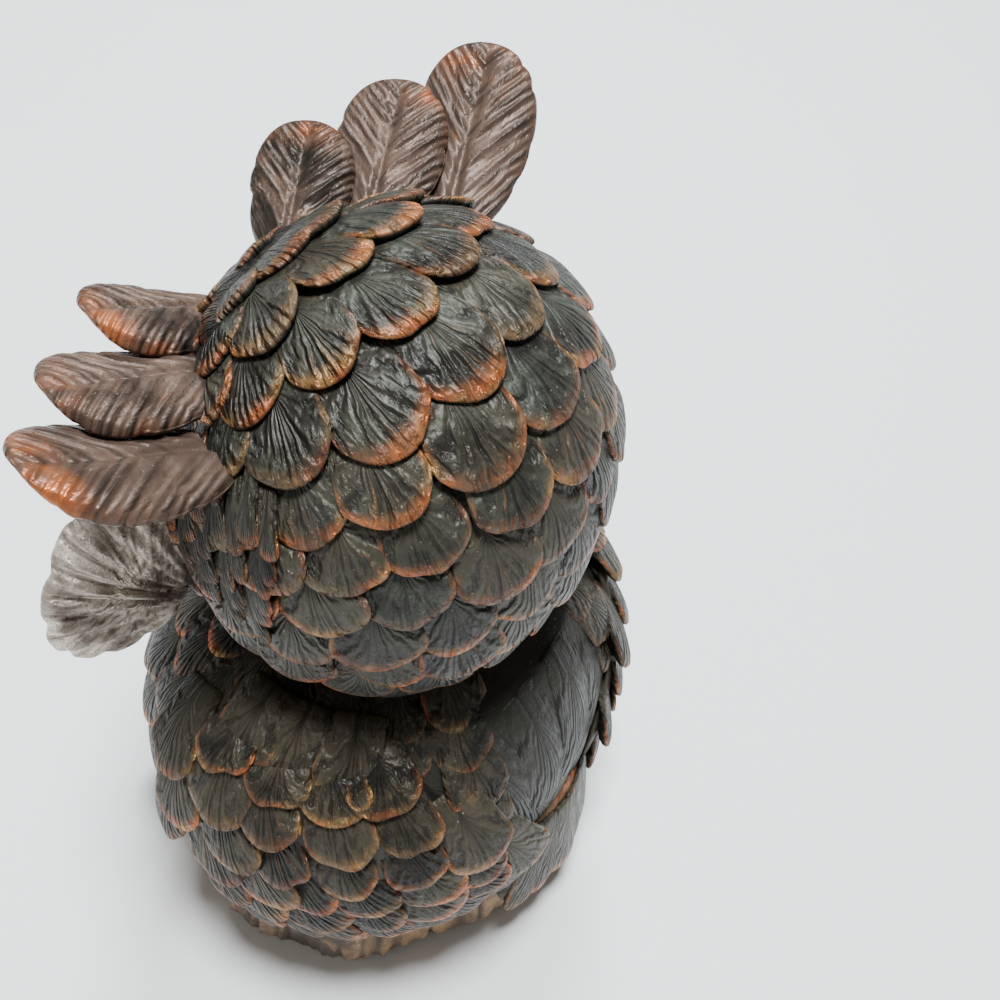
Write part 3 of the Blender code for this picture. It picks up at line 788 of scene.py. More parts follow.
def make_tail():
    low, high = TAIL_LOW.z, TAIL_HIGH.z
    length = high - low
    middle = (low + high) / 2
    half = (TAIL_HIGH.x - TAIL_LOW.x) / 2

    def outline(turn):
        wide = half * 0.97 * math.sin(turn) * (1 - 0.25 * math.cos(turn))
        return wide, length / 2 * 0.97 * math.cos(turn)

    def height(u, v, x, y, side_up, edge):
        return -TAIL_BOW * u * u

    def place(u, v, w):
        lean = TAIL_LEAN * (length / 2 - v)
        return Vector((u, TAIL_OUT + lean + w - TAIL_THICKNESS / 2, middle + v))

    fan = plate(48, 16, outline, height, TAIL_THICKNESS * 0.8, place)
    bm = new_mesh()
    cage = feather_cage()
    rng = random.Random(5)
    for index in (2, -2, 1, -1, 0):
        root = Vector((index * TAIL_FAN_STEP, high - 0.004))
        aim = Vector((index * TAIL_TIP_STEP, low + 0.003 + 0.0016 * abs(index)))
        ahead = (aim - root).normalized()
        side = Vector((-ahead.y, ahead.x))
        centre = (root + aim) / 2
        rise = 0.0010 - 0.0005 * abs(index)

        def seat(s, t, h, centre=centre, ahead=ahead, side=side, rise=rise):
            spot = centre + ahead * t + side * s
            lean = TAIL_LEAN * (high - spot.y)
            y = TAIL_OUT + lean - TAIL_BOW * spot.x**2 + 0.0012 + rise + h - TAIL_THICKNESS / 2
            return Vector((spot.x, y, spot.y))

        lay_feather(bm, cage, seat, TAIL_FEATHER_WIDTH, (aim - root).length, 0.0010, rng,
                    taper=0.7, sink=-0.0006, notches=0.6)
    bpy.data.meshes.remove(cage)
    return add_piece("owl_tail", join(bm, fan), ["tail"], "wing_patina", 1)


def toe_path(side, toe):
    """Points of one toe: from under the belly, over the stump's edge, to its claw."""
    x = side * FOOT_SPACING / 2
    splay = toe * TOE_SPREAD
    top = STUMP_TOP + TOE_RADIUS * 0.45
    return [
        Vector((x + splay * 0.15, -TOE_FRONT + TOE_BACK, top + 0.002)),
        Vector((x + splay * 0.45, -TOE_FRONT + TOE_BACK * 0.67, top + 0.003)),
        Vector((x + splay * 0.80, -TOE_FRONT + TOE_BACK * 0.3, top + 0.002)),
        Vector((x + splay * 1.00, -TOE_FRONT, top - 0.002)),
        Vector((x + splay * 1.08, -TOE_FRONT - 0.0015, top - 0.008)),
        Vector((x + splay * 1.10, -TOE_FRONT + 0.0005, top - 0.0125)),
    ]


def curve_point(path, share):
    """A smooth curve through the path's points, with share from 0 to 1."""
    spot = min(share, 0.99999) * (len(path) - 1)
    index = int(spot)
    t = spot - index
    before = path[max(0, index - 1)]
    first = path[index]
    second = path[index + 1]
    after = path[min(len(path) - 1, index + 2)]
    return 0.5 * (
        2 * first
        + (second - before) * t
        + (2 * before - 5 * first + 4 * second - after) * t * t
        + (3 * first - before - 3 * second + after) * t**3
    )


def toe_mesh(side, toe):
    path = toe_path(side, toe)
    rings = 44
    columns = 20
    sizes = [Vector((share, 0, 0)) for share in (0.95, 1.0, 1.05, 0.95, 0.55, 0.18)]

    def point(ring, column):
        share = min(1.0, max(0.0, (ring - 1) / (rings - 2)))
        spot = curve_point(path, share)
        ahead = curve_point(path, min(1.0, share + 0.02))
        ahead = ahead - curve_point(path, max(0.0, share - 0.02))
        ahead.normalize()
        radius = TOE_RADIUS * curve_point(sizes, share).x
        claw = smooth_step(0.62, 0.68, share)
        scute = abs(math.sin(math.pi * share * 13)) ** 0.5
        radius *= 1 - 0.10 * (1 - scute) * (1 - claw) - 0.16 * claw * (1 - share)
        if ring in (0, rings):
            spot = spot + ahead * (radius * 0.5 if ring else -radius * 0.5)
            return spot, Vector((0, share, claw))
        turn = math.tau * column / columns
        right = ahead.cross(Vector((0, 0, 1)))
        right = right.normalized() if right.length > 0.2 else Vector((1, 0, 0))
        up = right.cross(ahead)
        spot = spot + (right * math.sin(turn) - up * math.cos(turn)) * radius
        return spot, Vector((math.sin(turn), share, claw))

    return skin(columns, rings, point)


def make_foot(side, name):
    bm = join(toe_mesh(side, 0), toe_mesh(side, 1), toe_mesh(side, -1))
    return add_piece(f"owl_{name}", bm, [name], "foot_bronze")


def make_stump():
    """A short stump: bark ridges round its side and a turned-in top and foot."""
    low = FELT_HIGH.z + GLUE
    columns = 220
    chamfer = STUMP_CHAMFER
    levels = [(inset, STUMP_TOP) for inset in (0.055, 0.025, 0.008, chamfer + 0.0025)]
    steps = 20
    for step in range(steps + 1):
        share = step / steps
        height = STUMP_TOP - chamfer * 0.6
        height += (low + chamfer - STUMP_TOP + chamfer * 0.6) * share
        levels.append((STUMP_WAIST * (1 - share) ** 1.5, height))
    levels += [(chamfer, low), (0.020, low), (0.055, low)]
    last = len(levels) - 1

    def point(ring, column):
        inset, height = levels[ring]
        turn = math.tau * column / columns
        if ring in (0, last):
            return Vector((0, 0, height)), Vector((0, 0, 0))
        lobe = STUMP_LOBE_DEPTH * math.sin(STUMP_LOBES * turn) * math.cos(2 * turn + 1)
        spot = Vector((6 * math.sin(turn), 6 * math.cos(turn), 25 * height))
        warp = noise.noise(spot * 0.7) * 0.35
        drift = turn + 0.06 * warp
        plates = noise.noise(Vector((9 * math.sin(drift), 9 * math.cos(drift), 18 * height)))
        crack = max(0.0, 1 - abs(plates) * 4.5)
        ridge = 0.5 + 0.5 * math.sin(58 * turn + 5 * warp + 40 * height)
        fine = noise.noise(spot * 4.0)
        bark = 0.0014 * crack + 0.0007 * ridge + 0.0004 * (1 + fine)
        side = 1.0 if 4 <= ring <= 4 + steps else 0.35
        inset += bark * side
        x = (STUMP_HALF_WIDTH + lobe - inset) * math.sin(turn)
        y = -(STUMP_HALF_DEPTH + lobe - inset) * math.cos(turn)
        return Vector((x, y, height)), Vector((0, 0, crack))

    bm = skin(columns, last, point)
    return add_piece("owl_stump", bm, ["stump_base"], "bark")


# Shader helpers


class Tree:
    """Adds and wires the nodes of one node tree."""

    def __init__(self, tree):
        self.tree = tree

    def add(self, kind, inputs=None, **settings):
        node = self.tree.nodes.new(kind)
        for name, value in settings.items():
            setattr(node, name, value)
        for name, value in (inputs or {}).items():
            self.feed(node.inputs[name], value)
        return node

    def feed(self, socket, value):
        if isinstance(value, bpy.types.NodeSocket):
            self.tree.links.new(value, socket)
        else:
            socket.default_value = value

    def math(self, operation, *values, clamp=False):
        node = self.add("ShaderNodeMath", operation=operation, use_clamp=clamp)
        for socket, value in zip(node.inputs, values):
            self.feed(socket, value)
        return node.outputs[0]

    def times(self, *values, clamp=False):
        return self.math("MULTIPLY", *values, clamp=clamp)

    def plus(self, *values, clamp=False):
        return self.math("ADD", *values, clamp=clamp)

    def minus(self, *values):
        return self.math("SUBTRACT", *values)

    def split(self, vector):
        return self.add("ShaderNodeSeparateXYZ", {"Vector": vector}).outputs

    def vane(self):
        return self.add("ShaderNodeAttribute", attribute_name="vane").outputs["Vector"]

    def band(self, value, low, high, start=0.0, end=1.0):
        inputs = {"Value": value, "From Min": low, "From Max": high, "To Min": start,
                  "To Max": end}
        node = self.add("ShaderNodeMapRange", inputs, interpolation_type="SMOOTHSTEP")
        return node.outputs["Result"]

    def mix(self, factor, first, second, blend="MIX"):
        node = self.add("ShaderNodeMix", data_type="RGBA", blend_type=blend)
        self.feed(node.inputs[0], factor)
        self.feed(node.inputs[6], first)
        self.feed(node.inputs[7], second)
        return node.outputs[2]

    def noise(self, vector, scale, detail=4.0, roughness=0.55, distortion=0.0):
        inputs = {"Vector": vector, "Scale": scale, "Detail": detail, "Roughness": roughness,
                  "Distortion": distortion}
        return self.add("ShaderNodeTexNoise", inputs).outputs["Fac"]

    def voronoi(self, vector, scale, feature="F1"):
        inputs = {"Vector": vector, "Scale": scale}
        return self.add("ShaderNodeTexVoronoi", inputs, feature=feature).outputs["Distance"]

    def place(self):
        return self.add("ShaderNodeTexCoord").outputs["Object"]

    def group(self, tree, inputs):
        node = self.add("ShaderNodeGroup", node_tree=tree)
        for name, value in inputs.items():
            self.feed(node.inputs[name], value)
        return node.outputs


def colour(red, green, blue):
    return (red, green, blue, 1.0)


def new_group(name, inputs, outputs):
    """A node group with these sockets, each a name, a kind and for an input its default."""
    tree = bpy.data.node_groups.new(name, "ShaderNodeTree")
    for label, kind, value in inputs:
        socket = tree.interface.new_socket(label, in_out="INPUT", socket_type=f"NodeSocket{kind}")
        if value is not None:
            socket.default_value = value
    for label, kind in outputs:
        tree.interface.new_socket(label, in_out="OUTPUT", socket_type=f"NodeSocket{kind}")
    made = Tree(tree)
    return tree, made, made.add("NodeGroupInput").outputs, made.add("NodeGroupOutput").inputs


def once(make):
    """Keeps the first result, so that each group and material is built once."""
    kept = {}

    def get():
        if "made" not in kept:
            kept["made"] = make()
        return kept["made"]

    return get


@once
def vane_group():
    """Barbs, rubbed rim and painted shade on the undercut of a feather, from its own vane
    attribute.
    """
    inputs = [("Barbs", "Float", 24.0), ("Slant", "Float", 4.0), ("Fan", "Float", 1.0),
              ("Rim Width", "Float", 0.16), ("Wander", "Float", 0.55)]
    outputs = [("Height", "Float"), ("Rim", "Float"), ("Shade", "Float"), ("Tone", "Float")]
    tree, nodes, given, out = new_group("Feather Vane", inputs, outputs)
    vane = nodes.vane()
    sunk = nodes.add("ShaderNodeAttribute", attribute_name="sunk").outputs["Fac"]
    split = nodes.split(vane)
    across, ahead = split["X"], split["Y"]
    aside = nodes.math("ABSOLUTE", across)
    own = nodes.add("ShaderNodeCombineXYZ", {"X": across, "Y": ahead,
                                             "Z": nodes.times(split["Z"], 40.0)}).outputs[0]
    wander = nodes.noise(own, 2.6, 2.0)
    rough = nodes.noise(own, 7.0, 3.0)
    fan = nodes.math("ARCTAN2", across, nodes.math("MAXIMUM", nodes.minus(ahead, 0.2), 0.03))
    slant = nodes.minus(ahead, nodes.times(aside, given["Slant"]))
    phase = nodes.times(fan, given["Fan"])
    plain = nodes.minus(1.0, given["Fan"])
    phase = nodes.plus(phase, nodes.times(slant, plain))
    phase = nodes.plus(phase, nodes.times(wander, given["Wander"]))
    phase = nodes.times(phase, given["Barbs"])
    fine = nodes.math("SINE", phase)
    broad = nodes.math("SINE", nodes.times(phase, 0.37))
    ring = nodes.math("MAXIMUM", ahead, nodes.times(aside, 0.97))
    reach = nodes.times(nodes.band(ring, 0.35, 0.85), nodes.band(rough, 0.32, 0.62))
    fine = nodes.times(fine, nodes.plus(nodes.times(reach, 0.45), 0.10))
    broad = nodes.times(broad, nodes.plus(nodes.times(reach, 0.45), 0.15))
    nodes.feed(out["Height"], nodes.plus(fine, broad))
    rim_start = nodes.minus(1.0, given["Rim Width"])
    rim = nodes.band(nodes.plus(ring, nodes.times(rough, 0.10)), rim_start, 1.03)
    top = nodes.band(sunk, 0.1, 0.9, 1.0, 0.0)
    tip = nodes.band(ahead, 0.45, 0.95)
    nodes.feed(out["Rim"], nodes.times(nodes.times(rim, top), tip))
    # Shade: painted shade, strongest on the rim wall and the sole under each feather
    nodes.feed(out["Shade"], nodes.band(sunk, 0.3, 1.3))
    nodes.feed(out["Tone"], split["Z"])
    return tree


@once
def patina_group():
    """A cloudy two-tone patina with pits."""
    inputs = [("Vector", "Vector", None), ("Dark", "Color", colour(0.02, 0.02, 0.016)),
              ("Light", "Color", colour(0.07, 0.065, 0.05)), ("Scale", "Float", 1.0)]
    outputs = [("Color", "Color"), ("Roughness", "Float"), ("Height", "Float")]
    tree, nodes, given, out = new_group("Cast Patina", inputs, outputs)
    spot = nodes.add("ShaderNodeVectorMath", {0: given["Vector"]}, operation="SCALE")
    nodes.feed(spot.inputs["Scale"], given["Scale"])
    spot = spot.outputs[0]
    cloud = nodes.noise(spot, 90.0, 6.0, 0.62, 0.4)
    fine = nodes.noise(spot, 900.0, 3.0, 0.6)
    pits = nodes.voronoi(spot, 620.0)
    pit = nodes.band(pits, 0.05, 0.22, 1.0, 0.0)
    cell = nodes.add("ShaderNodeTexVoronoi", {"Vector": spot, "Scale": 62.0})
    chosen = nodes.band(nodes.split(cell.outputs["Color"])["X"], 0.86, 0.87)
    hole = nodes.times(nodes.band(cell.outputs["Distance"], 0.040, 0.056, 1.0, 0.0), chosen)
    pit = nodes.math("MAXIMUM", pit, nodes.times(hole, 2.0))
    shade = nodes.mix(nodes.band(cloud, 0.36, 0.66), given["Dark"], given["Light"])
    grit = nodes.times(nodes.band(nodes.noise(spot, 2300.0, 2.0, 0.7), 0.38, 0.62),
                      nodes.band(cloud, 0.30, 0.55, 0.25, 0.75))
    shade = nodes.mix(grit, shade, nodes.mix(1.0, shade, colour(1.9, 1.9, 1.85), "MULTIPLY"))
    deep = nodes.times(pit, 0.5, clamp=True)
    nodes.feed(out["Color"], nodes.mix(deep, shade, colour(0.004, 0.004, 0.003)))
    nodes.feed(out["Roughness"], nodes.band(nodes.plus(cloud, nodes.times(fine, 0.4)),
                                            0.4, 1.0, -0.08, 0.12))
    rough = nodes.minus(nodes.times(fine, 0.5), nodes.times(pit, 0.5))
    nodes.feed(out["Height"], nodes.plus(rough, nodes.times(cloud, 0.8)))
    return tree


@once
def rub_group():
    """Where handling has rubbed the patina off: a mask broken up by scratches and stains."""
    inputs = [("Vector", "Vector", None), ("Mask", "Float", 0.0), ("Amount", "Float", 0.8),
              ("Base", "Color", colour(0.05, 0.05, 0.04)),
              ("Metal", "Color", colour(0.5, 0.2, 0.06))]
    outputs = [("Color", "Color"), ("Mask", "Float")]
    tree, nodes, given, out = new_group("Rubbed Metal", inputs, outputs)
    broad = nodes.band(nodes.noise(given["Vector"], 75.0, 3.0), 0.42, 0.64)
    fine = nodes.band(nodes.noise(given["Vector"], 520.0, 5.0, 0.7), 0.30, 0.62)
    worn = nodes.times(given["Mask"], nodes.plus(nodes.times(broad, 0.75), 0.25))
    worn = nodes.times(worn, nodes.plus(nodes.times(fine, 0.7), 0.3))
    worn = nodes.times(worn, given["Amount"], clamp=True)
    nodes.feed(out["Color"], nodes.mix(worn, given["Base"], given["Metal"]))
    nodes.feed(out["Mask"], worn)
    return tree


@once
def dust_group():
    """Sparse pale specks and a faint haze."""
    inputs = [("Vector", "Vector", None), ("Color", "Color", colour(0.1, 0.1, 0.1)),
              ("Haze", "Float", 0.04)]
    outputs = [("Color", "Color"), ("Mask", "Float")]
    tree, nodes, given, out = new_group("Settled Dust", inputs, outputs)
    specks = nodes.band(nodes.voronoi(given["Vector"], 330.0), 0.03, 0.09, 1.0, 0.0)
    chosen = nodes.band(nodes.noise(given["Vector"], 140.0, 2.0), 0.60, 0.66)
    mask = nodes.times(specks, chosen)
    haze = nodes.times(nodes.noise(given["Vector"], 45.0, 5.0), given["Haze"])
    mask = nodes.plus(nodes.times(mask, 0.55), haze, clamp=True)
    nodes.feed(out["Color"], nodes.mix(mask, given["Color"], colour(0.42, 0.42, 0.40)))
    nodes.feed(out["Mask"], mask)
    return tree


def new_finish(name, roughness, metallic):
    made = bpy.data.materials.new(name)
    made.use_nodes = True
    nodes = Tree(made.node_tree)
    shader = made.node_tree.nodes["Principled BSDF"]
    shader.inputs["Roughness"].default_value = roughness
    shader.inputs["Metallic"].default_value = metallic
    return made, nodes, shader


def bumped(nodes, shader, height, strength, distance):
    inputs = {"Height": height, "Strength": strength, "Distance": distance}
    nodes.feed(shader.inputs["Normal"], nodes.add("ShaderNodeBump", inputs).outputs["Normal"])


def feather_finish(name, dark, light, tint, metal, gold, roughness=0.42, metallic=0.25,
                   amount=0.85, barbs=24.0, slant=4.0, fan=1.0, rim=0.17, depth=1.0,
                   wander=0.55, gloss=0.15, bare=None):
    """Patinated feathers with barbs, rubbed rims and a tint that varies from one to the next."""
    made, nodes, shader = new_finish(name, roughness, metallic)
    place = nodes.place()
    vane = nodes.group(vane_group(), {"Barbs": barbs, "Slant": slant, "Fan": fan, "Rim Width": rim,
                                      "Wander": wander})
    patina = nodes.group(patina_group(), {"Vector": place, "Dark": dark, "Light": light})
    tone = nodes.band(nodes.plus(vane["Tone"], nodes.noise(place, 70.0, 3.0)), 0.85, 1.45)
    base = nodes.mix(nodes.times(tone, 0.7), patina["Color"], tint)
    groove = nodes.band(vane["Height"], -0.35, -0.05, 0.55, 0.0)
    base = nodes.mix(groove, base, dark)
    # Painted shade: the rim wall and sole under each feather are darkened towards the dark patina
    base = nodes.mix(nodes.times(vane["Shade"], 0.9), base, dark)
    if bare:
        smooth = nodes.band(vane["Tone"], -0.6, -0.3, 1.0, 0.0)
        base = nodes.mix(nodes.times(smooth, 0.85), base, bare)
    ridge = nodes.times(nodes.band(vane["Height"], 0.10, 0.45), 0.30)
    blush = nodes.band(nodes.noise(place, 110.0, 3.0), 0.52, 0.70)
    ridge = nodes.times(ridge, blush)
    mask = nodes.times(nodes.plus(vane["Rim"], ridge, clamp=True),
                      nodes.band(vane["Tone"], -0.6, 0.15))
    metal = nodes.mix(nodes.band(nodes.noise(place, 95.0, 2.0), 0.42, 0.60), metal, gold)
    rub = nodes.group(rub_group(), {"Vector": place, "Mask": mask, "Amount": amount, "Base": base,
                                    "Metal": metal})
    dust = nodes.group(dust_group(), {"Vector": place, "Color": rub["Color"]})
    nodes.feed(shader.inputs["Base Color"], dust["Color"])
    rough = nodes.plus(roughness, patina["Roughness"])
    rough = nodes.minus(rough, nodes.times(rub["Mask"], 0.06))
    nodes.feed(shader.inputs["Roughness"], nodes.plus(rough, nodes.times(dust["Mask"], 0.5)))
    nodes.feed(shader.inputs["Metallic"], nodes.band(rub["Mask"], 0.0, 0.8, metallic, 0.60))
    height = nodes.plus(vane["Height"], nodes.times(patina["Height"], 0.35))
    bumped(nodes, shader, height, depth, 0.0008)
    shader.inputs["Specular IOR Level"].default_value = gloss
    return made


def plain_finish(name, dark, light, metal, roughness, metallic, amount, height=0.0004):
    """Patina for a piece without vanes, rubbed in broad patches."""
    made, nodes, shader = new_finish(name, roughness, metallic)
    place = nodes.place()
    patina = nodes.group(patina_group(), {"Vector": place, "Dark": dark, "Light": light})
    mask = nodes.band(nodes.noise(place, 160.0, 5.0, 0.65), 0.48, 0.66)
    rub = nodes.group(rub_group(), {"Vector": place, "Mask": mask, "Amount": amount,
                                    "Base": patina["Color"], "Metal": metal})
    dust = nodes.group(dust_group(), {"Vector": place, "Color": rub["Color"]})
    nodes.feed(shader.inputs["Base Color"], dust["Color"])
    nodes.feed(shader.inputs["Roughness"], nodes.plus(roughness, patina["Roughness"]))
    bumped(nodes, shader, patina["Height"], 0.7, height)
    return made


def bark_finish():
    c = bpy.context.scene.owl_colours
    made, nodes, shader = new_finish("Bark", 0.62, 0.1)
    place = nodes.place()
    patina = nodes.group(patina_group(), {"Vector": place, "Dark": c.bark_dark, "Light": c.bark})
    crack = nodes.split(nodes.vane())["Z"]
    base = nodes.mix(nodes.band(crack, 0.1, 0.9), patina["Color"], c.bark_dark)
    dust = nodes.group(dust_group(), {"Vector": place, "Color": base, "Haze": 0.08})
    nodes.feed(shader.inputs["Base Color"], dust["Color"])
    nodes.feed(shader.inputs["Roughness"], nodes.plus(0.60, patina["Roughness"]))
    stretched = nodes.add("ShaderNodeMapping", {"Vector": place, "Scale": (1, 1, 0.25)}).outputs[0]
    grain = nodes.noise(stretched, 420.0, 5.0, 0.65)
    height = nodes.plus(nodes.times(grain, 1.2), patina["Height"])
    bumped(nodes, shader, height, 0.8, 0.0006)
    return made


def amber_finish():
    """Amber glass over a painted iris with a dark pupil."""
    c = bpy.context.scene.owl_colours
    made, nodes, shader = new_finish("Amber glass", 0.06, 0.0)
    split = nodes.split(nodes.place())
    aside = nodes.minus(nodes.math("ABSOLUTE", split["X"]), EYE_SPACING / 2)
    rise = nodes.minus(split["Z"], EYE_HEIGHT)
    reach = nodes.math("SQRT", nodes.plus(nodes.times(aside, aside),
                                          nodes.times(rise, rise)))
    angle = nodes.math("ARCTAN2", rise, aside)
    rays = nodes.add("ShaderNodeCombineXYZ", {"X": nodes.times(angle, 9.0),
                                              "Y": nodes.times(reach, 90.0)}).outputs[0]
    streak = nodes.band(nodes.noise(rays, 1.4, 4.0), 0.3, 0.7)
    iris = nodes.mix(streak, c.amber, c.amber_deep)
    ring = nodes.band(reach, EYE_RADIUS * 0.80, EYE_RADIUS * 0.97)
    iris = nodes.mix(ring, iris, colour(0.01, 0.008, 0.006))
    pupil = nodes.band(reach, EYE_RADIUS * 0.42, EYE_RADIUS * 0.48, 1.0, 0.0)
    nodes.feed(shader.inputs["Base Color"], nodes.mix(pupil, iris, colour(0.004, 0.004, 0.004)))
    smear = nodes.noise(nodes.place(), 240.0)
    nodes.feed(shader.inputs["Roughness"], nodes.band(smear, 0.4, 0.8, 0.05, 0.14))
    shader.inputs["Coat Weight"].default_value = 1.0
    shader.inputs["Coat Roughness"].default_value = 0.03
    return made


def felt_finish():
    c = bpy.context.scene.owl_colours
    made, nodes, shader = new_finish("Felt", 0.95, 0.0)
    place = nodes.place()
    fibre = nodes.noise(place, 1500.0, 4.0, 0.7, 1.5)
    patch = nodes.noise(place, 120.0, 4.0)
    tone = nodes.mix(nodes.band(patch, 0.35, 0.7), c.felt, c.felt_pale)
    tone = nodes.mix(nodes.band(fibre, 0.4, 0.7), tone, c.felt_pale)
    nodes.feed(shader.inputs["Base Color"], tone)
    nodes.feed(shader.inputs["Roughness"], nodes.band(fibre, 0.2, 0.8, 0.88, 1.0))
    bumped(nodes, shader, fibre, 0.8, 0.0004)
    return made


def finish_from(make, label, tones, **settings):
    """A finish that takes its colours from the settings by name when it is first used."""

    def build():
        c = bpy.context.scene.owl_colours
        chosen = {
            key: getattr(c, value) if isinstance(value, str) else value
            for key, value in settings.items()
        }
        return make(label, *(getattr(c, tone) for tone in tones.split()), **chosen)

    return once(build)


FINISHES = {
    "crown_patina": finish_from(feather_finish, "Hood patina", "dark light olive copper gold",
                                amount=0.72, gloss=0.29),
    "patina": finish_from(feather_finish, "Body patina", "dark earth olive copper gold",
                          amount=0.75, bare="blade"),
    "wing_patina": finish_from(feather_finish, "Wing patina", "dark earth olive copper gold",
                               roughness=0.40, amount=0.78),
    "tuft_patina": finish_from(feather_finish, "Ear feather patina", "dark rose rose copper rose",
                               roughness=0.36, barbs=88.0, slant=0.42, fan=0.0, rim=0.20,
                               depth=0.5, wander=0.035),
    "cheek_bronze": finish_from(feather_finish, "Cheek bronze",
                                "cheek_dark cheek cheek cheek pale", barbs=56.0, rim=0.10,
                                amount=0.4, depth=0.9, wander=0.15),
    "face_bronze": finish_from(plain_finish, "Face bronze", "rose pale copper",
                               roughness=0.46, metallic=0.40, amount=0.45),
    "beak_horn": finish_from(plain_finish, "Beak horn", "dark light copper",
                             roughness=0.34, metallic=0.3, amount=0.3),
    "foot_bronze": finish_from(plain_finish, "Foot bronze", "light olive copper",
                               roughness=0.44, metallic=0.5, amount=0.6),
    "bark": once(bark_finish),
    "amber_glass": once(amber_finish),
    "felt": once(felt_finish),
}


# Stage


def make_floor(tone):
    bm = bmesh.new()
    bmesh.ops.create_grid(bm, x_segments=1, y_segments=1, size=3.0)
    mesh = bpy.data.meshes.new("floor")
    bm.to_mesh(mesh)
    bm.free()
    floor = bpy.data.objects.new("floor", mesh)
    bpy.context.scene.collection.objects.link(floor)
    made, nodes, shader = new_finish("Pale floor", 0.85, 0.0)
    shader.inputs["Specular IOR Level"].default_value = 0.1
    cloud = nodes.noise(nodes.place(), 6.0, 4.0)
    pale = nodes.mix(nodes.times(cloud, 0.03), tone, colour(0.6, 0.6, 0.6))
    nodes.feed(shader.inputs["Base Color"], pale)
    mesh.materials.append(made)


def add_light(name, place, target, size, power, tint):
    data = bpy.data.lights.new(name, "AREA")
    data.shape = "DISK"
    data.size = size
    data.energy = power
    data.color = tint
    lamp = bpy.data.objects.new(name, data)
    lamp.location = place
    lamp.rotation_mode = "QUATERNION"
    lamp.rotation_quaternion = (Vector(target) - Vector(place)).to_track_quat("-Z", "Y")
    bpy.context.scene.collection.objects.link(lamp)


def add_camera():
    """Stands where the figurine is seen from behind and above, over its left shoulder."""
    azimuth, elevation, roll = CAMERA_AZIMUTH, CAMERA_ELEVATION, CAMERA_ROLL
    flat = math.cos(elevation)
    back = Vector((math.sin(azimuth) * flat, -math.cos(azimuth) * flat, math.sin(elevation)))
    level = Vector((math.cos(azimuth), math.sin(azimuth), 0))
    upright = back.cross(level)
    right = level * math.cos(roll) + upright * math.sin(roll)
    up = upright * math.cos(roll) - level * math.sin(roll)
    ahead = (right * CAMERA_ASIDE[0] + up * CAMERA_ASIDE[1] - back).normalized()
    right = ahead.cross(up).normalized()
    up = right.cross(ahead)
    data = bpy.data.cameras.new("camera")
    data.lens = CAMERA_LENS
    data.sensor_width = 36.0
    data.clip_start = 0.01
    camera = bpy.data.objects.new("camera", data)
    camera.location = HEAD_CENTRE + back * CAMERA_DISTANCE
    camera.rotation_mode = "QUATERNION"
    camera.rotation_quaternion = Matrix((right, up, -ahead)).transposed().to_quaternion()
    bpy.context.scene.collection.objects.link(camera)
    bpy.context.scene.camera = camera


def make_stage(colours):
    make_floor(colours.floor)
    world = bpy.data.worlds.new("studio")
    world.use_nodes = True
    backdrop = world.node_tree.nodes["Background"]
    backdrop.inputs["Color"].default_value = WORLD_TINT
    backdrop.inputs["Strength"].default_value = WORLD_STRENGTH
    bpy.context.scene.world = world
    for name, place, size, power, tint in LIGHTS:
        add_light(name, place, LIT_POINT, size, power, tint)
    add_camera()


# Settings


def size_property(label, note, value):
    return bpy.props.FloatProperty(
        name=label, description=note, default=value, unit="LENGTH", precision=4
    )


def count_property(label, note, value):
    return bpy.props.IntProperty(name=label, description=note, default=value)


def colour_property(label, note, value):
    return bpy.props.FloatVectorProperty(
        name=label, description=note, default=colour(*value), size=4, subtype="COLOR", min=0, max=1
    )


class OwlSizes(bpy.types.PropertyGroup):
    lift: size_property("Feather lift", "How far a feather's tip stands off", 0.0044)
    overlap: bpy.props.FloatProperty(
        name="Overlap", description="Feather length as a multiple of the row spacing", default=1.75
    )
    head_rows: count_property("Head rows", "Feather rows on the head", 12)
    wing_rows: count_property("Wing rows", "Feather rows on a wing", 7)


class OwlColours(bpy.types.PropertyGroup):
    dark: colour_property("Dark patina", "Deepest patina", (0.006, 0.005, 0.0035))
    light: colour_property("Patina", "Raised patina", (0.031, 0.033, 0.025))
    earth: colour_property("Earth", "Raised patina of body and wings", (0.036, 0.030, 0.019))
    olive: colour_property("Olive", "Tint of the warmer feathers", (0.056, 0.048, 0.030))
    copper: colour_property("Copper", "Rubbed rims", (0.62, 0.17, 0.045))
    gold: colour_property("Gold", "Paler rubbed rims", (0.50, 0.26, 0.085))
    blade: colour_property("Blades", "Smooth blades of the back", (0.016, 0.0155, 0.0115))
    rose: colour_property("Rose", "Ear feathers", (0.088, 0.054, 0.039))
    cheek: colour_property("Cheek bronze", "Cheek fans", (0.62, 0.55, 0.47))
    cheek_dark: colour_property("Cheek grooves", "Between the cheek's ribs", (0.140, 0.105, 0.085))
    pale: colour_property("Pale bronze", "Face", (0.46, 0.38, 0.30))
    bark: colour_property("Bark", "Stump", (0.27, 0.160, 0.078))
    bark_dark: colour_property("Bark cracks", "Cracks in the stump", (0.038, 0.022, 0.012))
    amber: colour_property("Amber", "Iris", (0.65, 0.30, 0.03))
    amber_deep: colour_property("Deep amber", "Streaks of the iris", (0.38, 0.12, 0.01))
    felt: colour_property("Felt", "Pad", (0.040, 0.043, 0.040))
    felt_pale: colour_property("Felt fibres", "Lighter fibres of the pad", (0.09, 0.095, 0.09))
    floor: colour_property("Floor", "Pale floor", (0.86, 0.86, 0.86))


# Operators


class OwlOperator:
    bl_options = {"REGISTER", "UNDO"}

    def execute(self, context):
        self.build(context.scene)
        return {"FINISHED"}


class OWL_OT_stump(OwlOperator, bpy.types.Operator):
    """Adds the stump"""

    bl_idname = "owl.stump"
    bl_label = "Stump"

    def build(self, scene):
        make_stump()


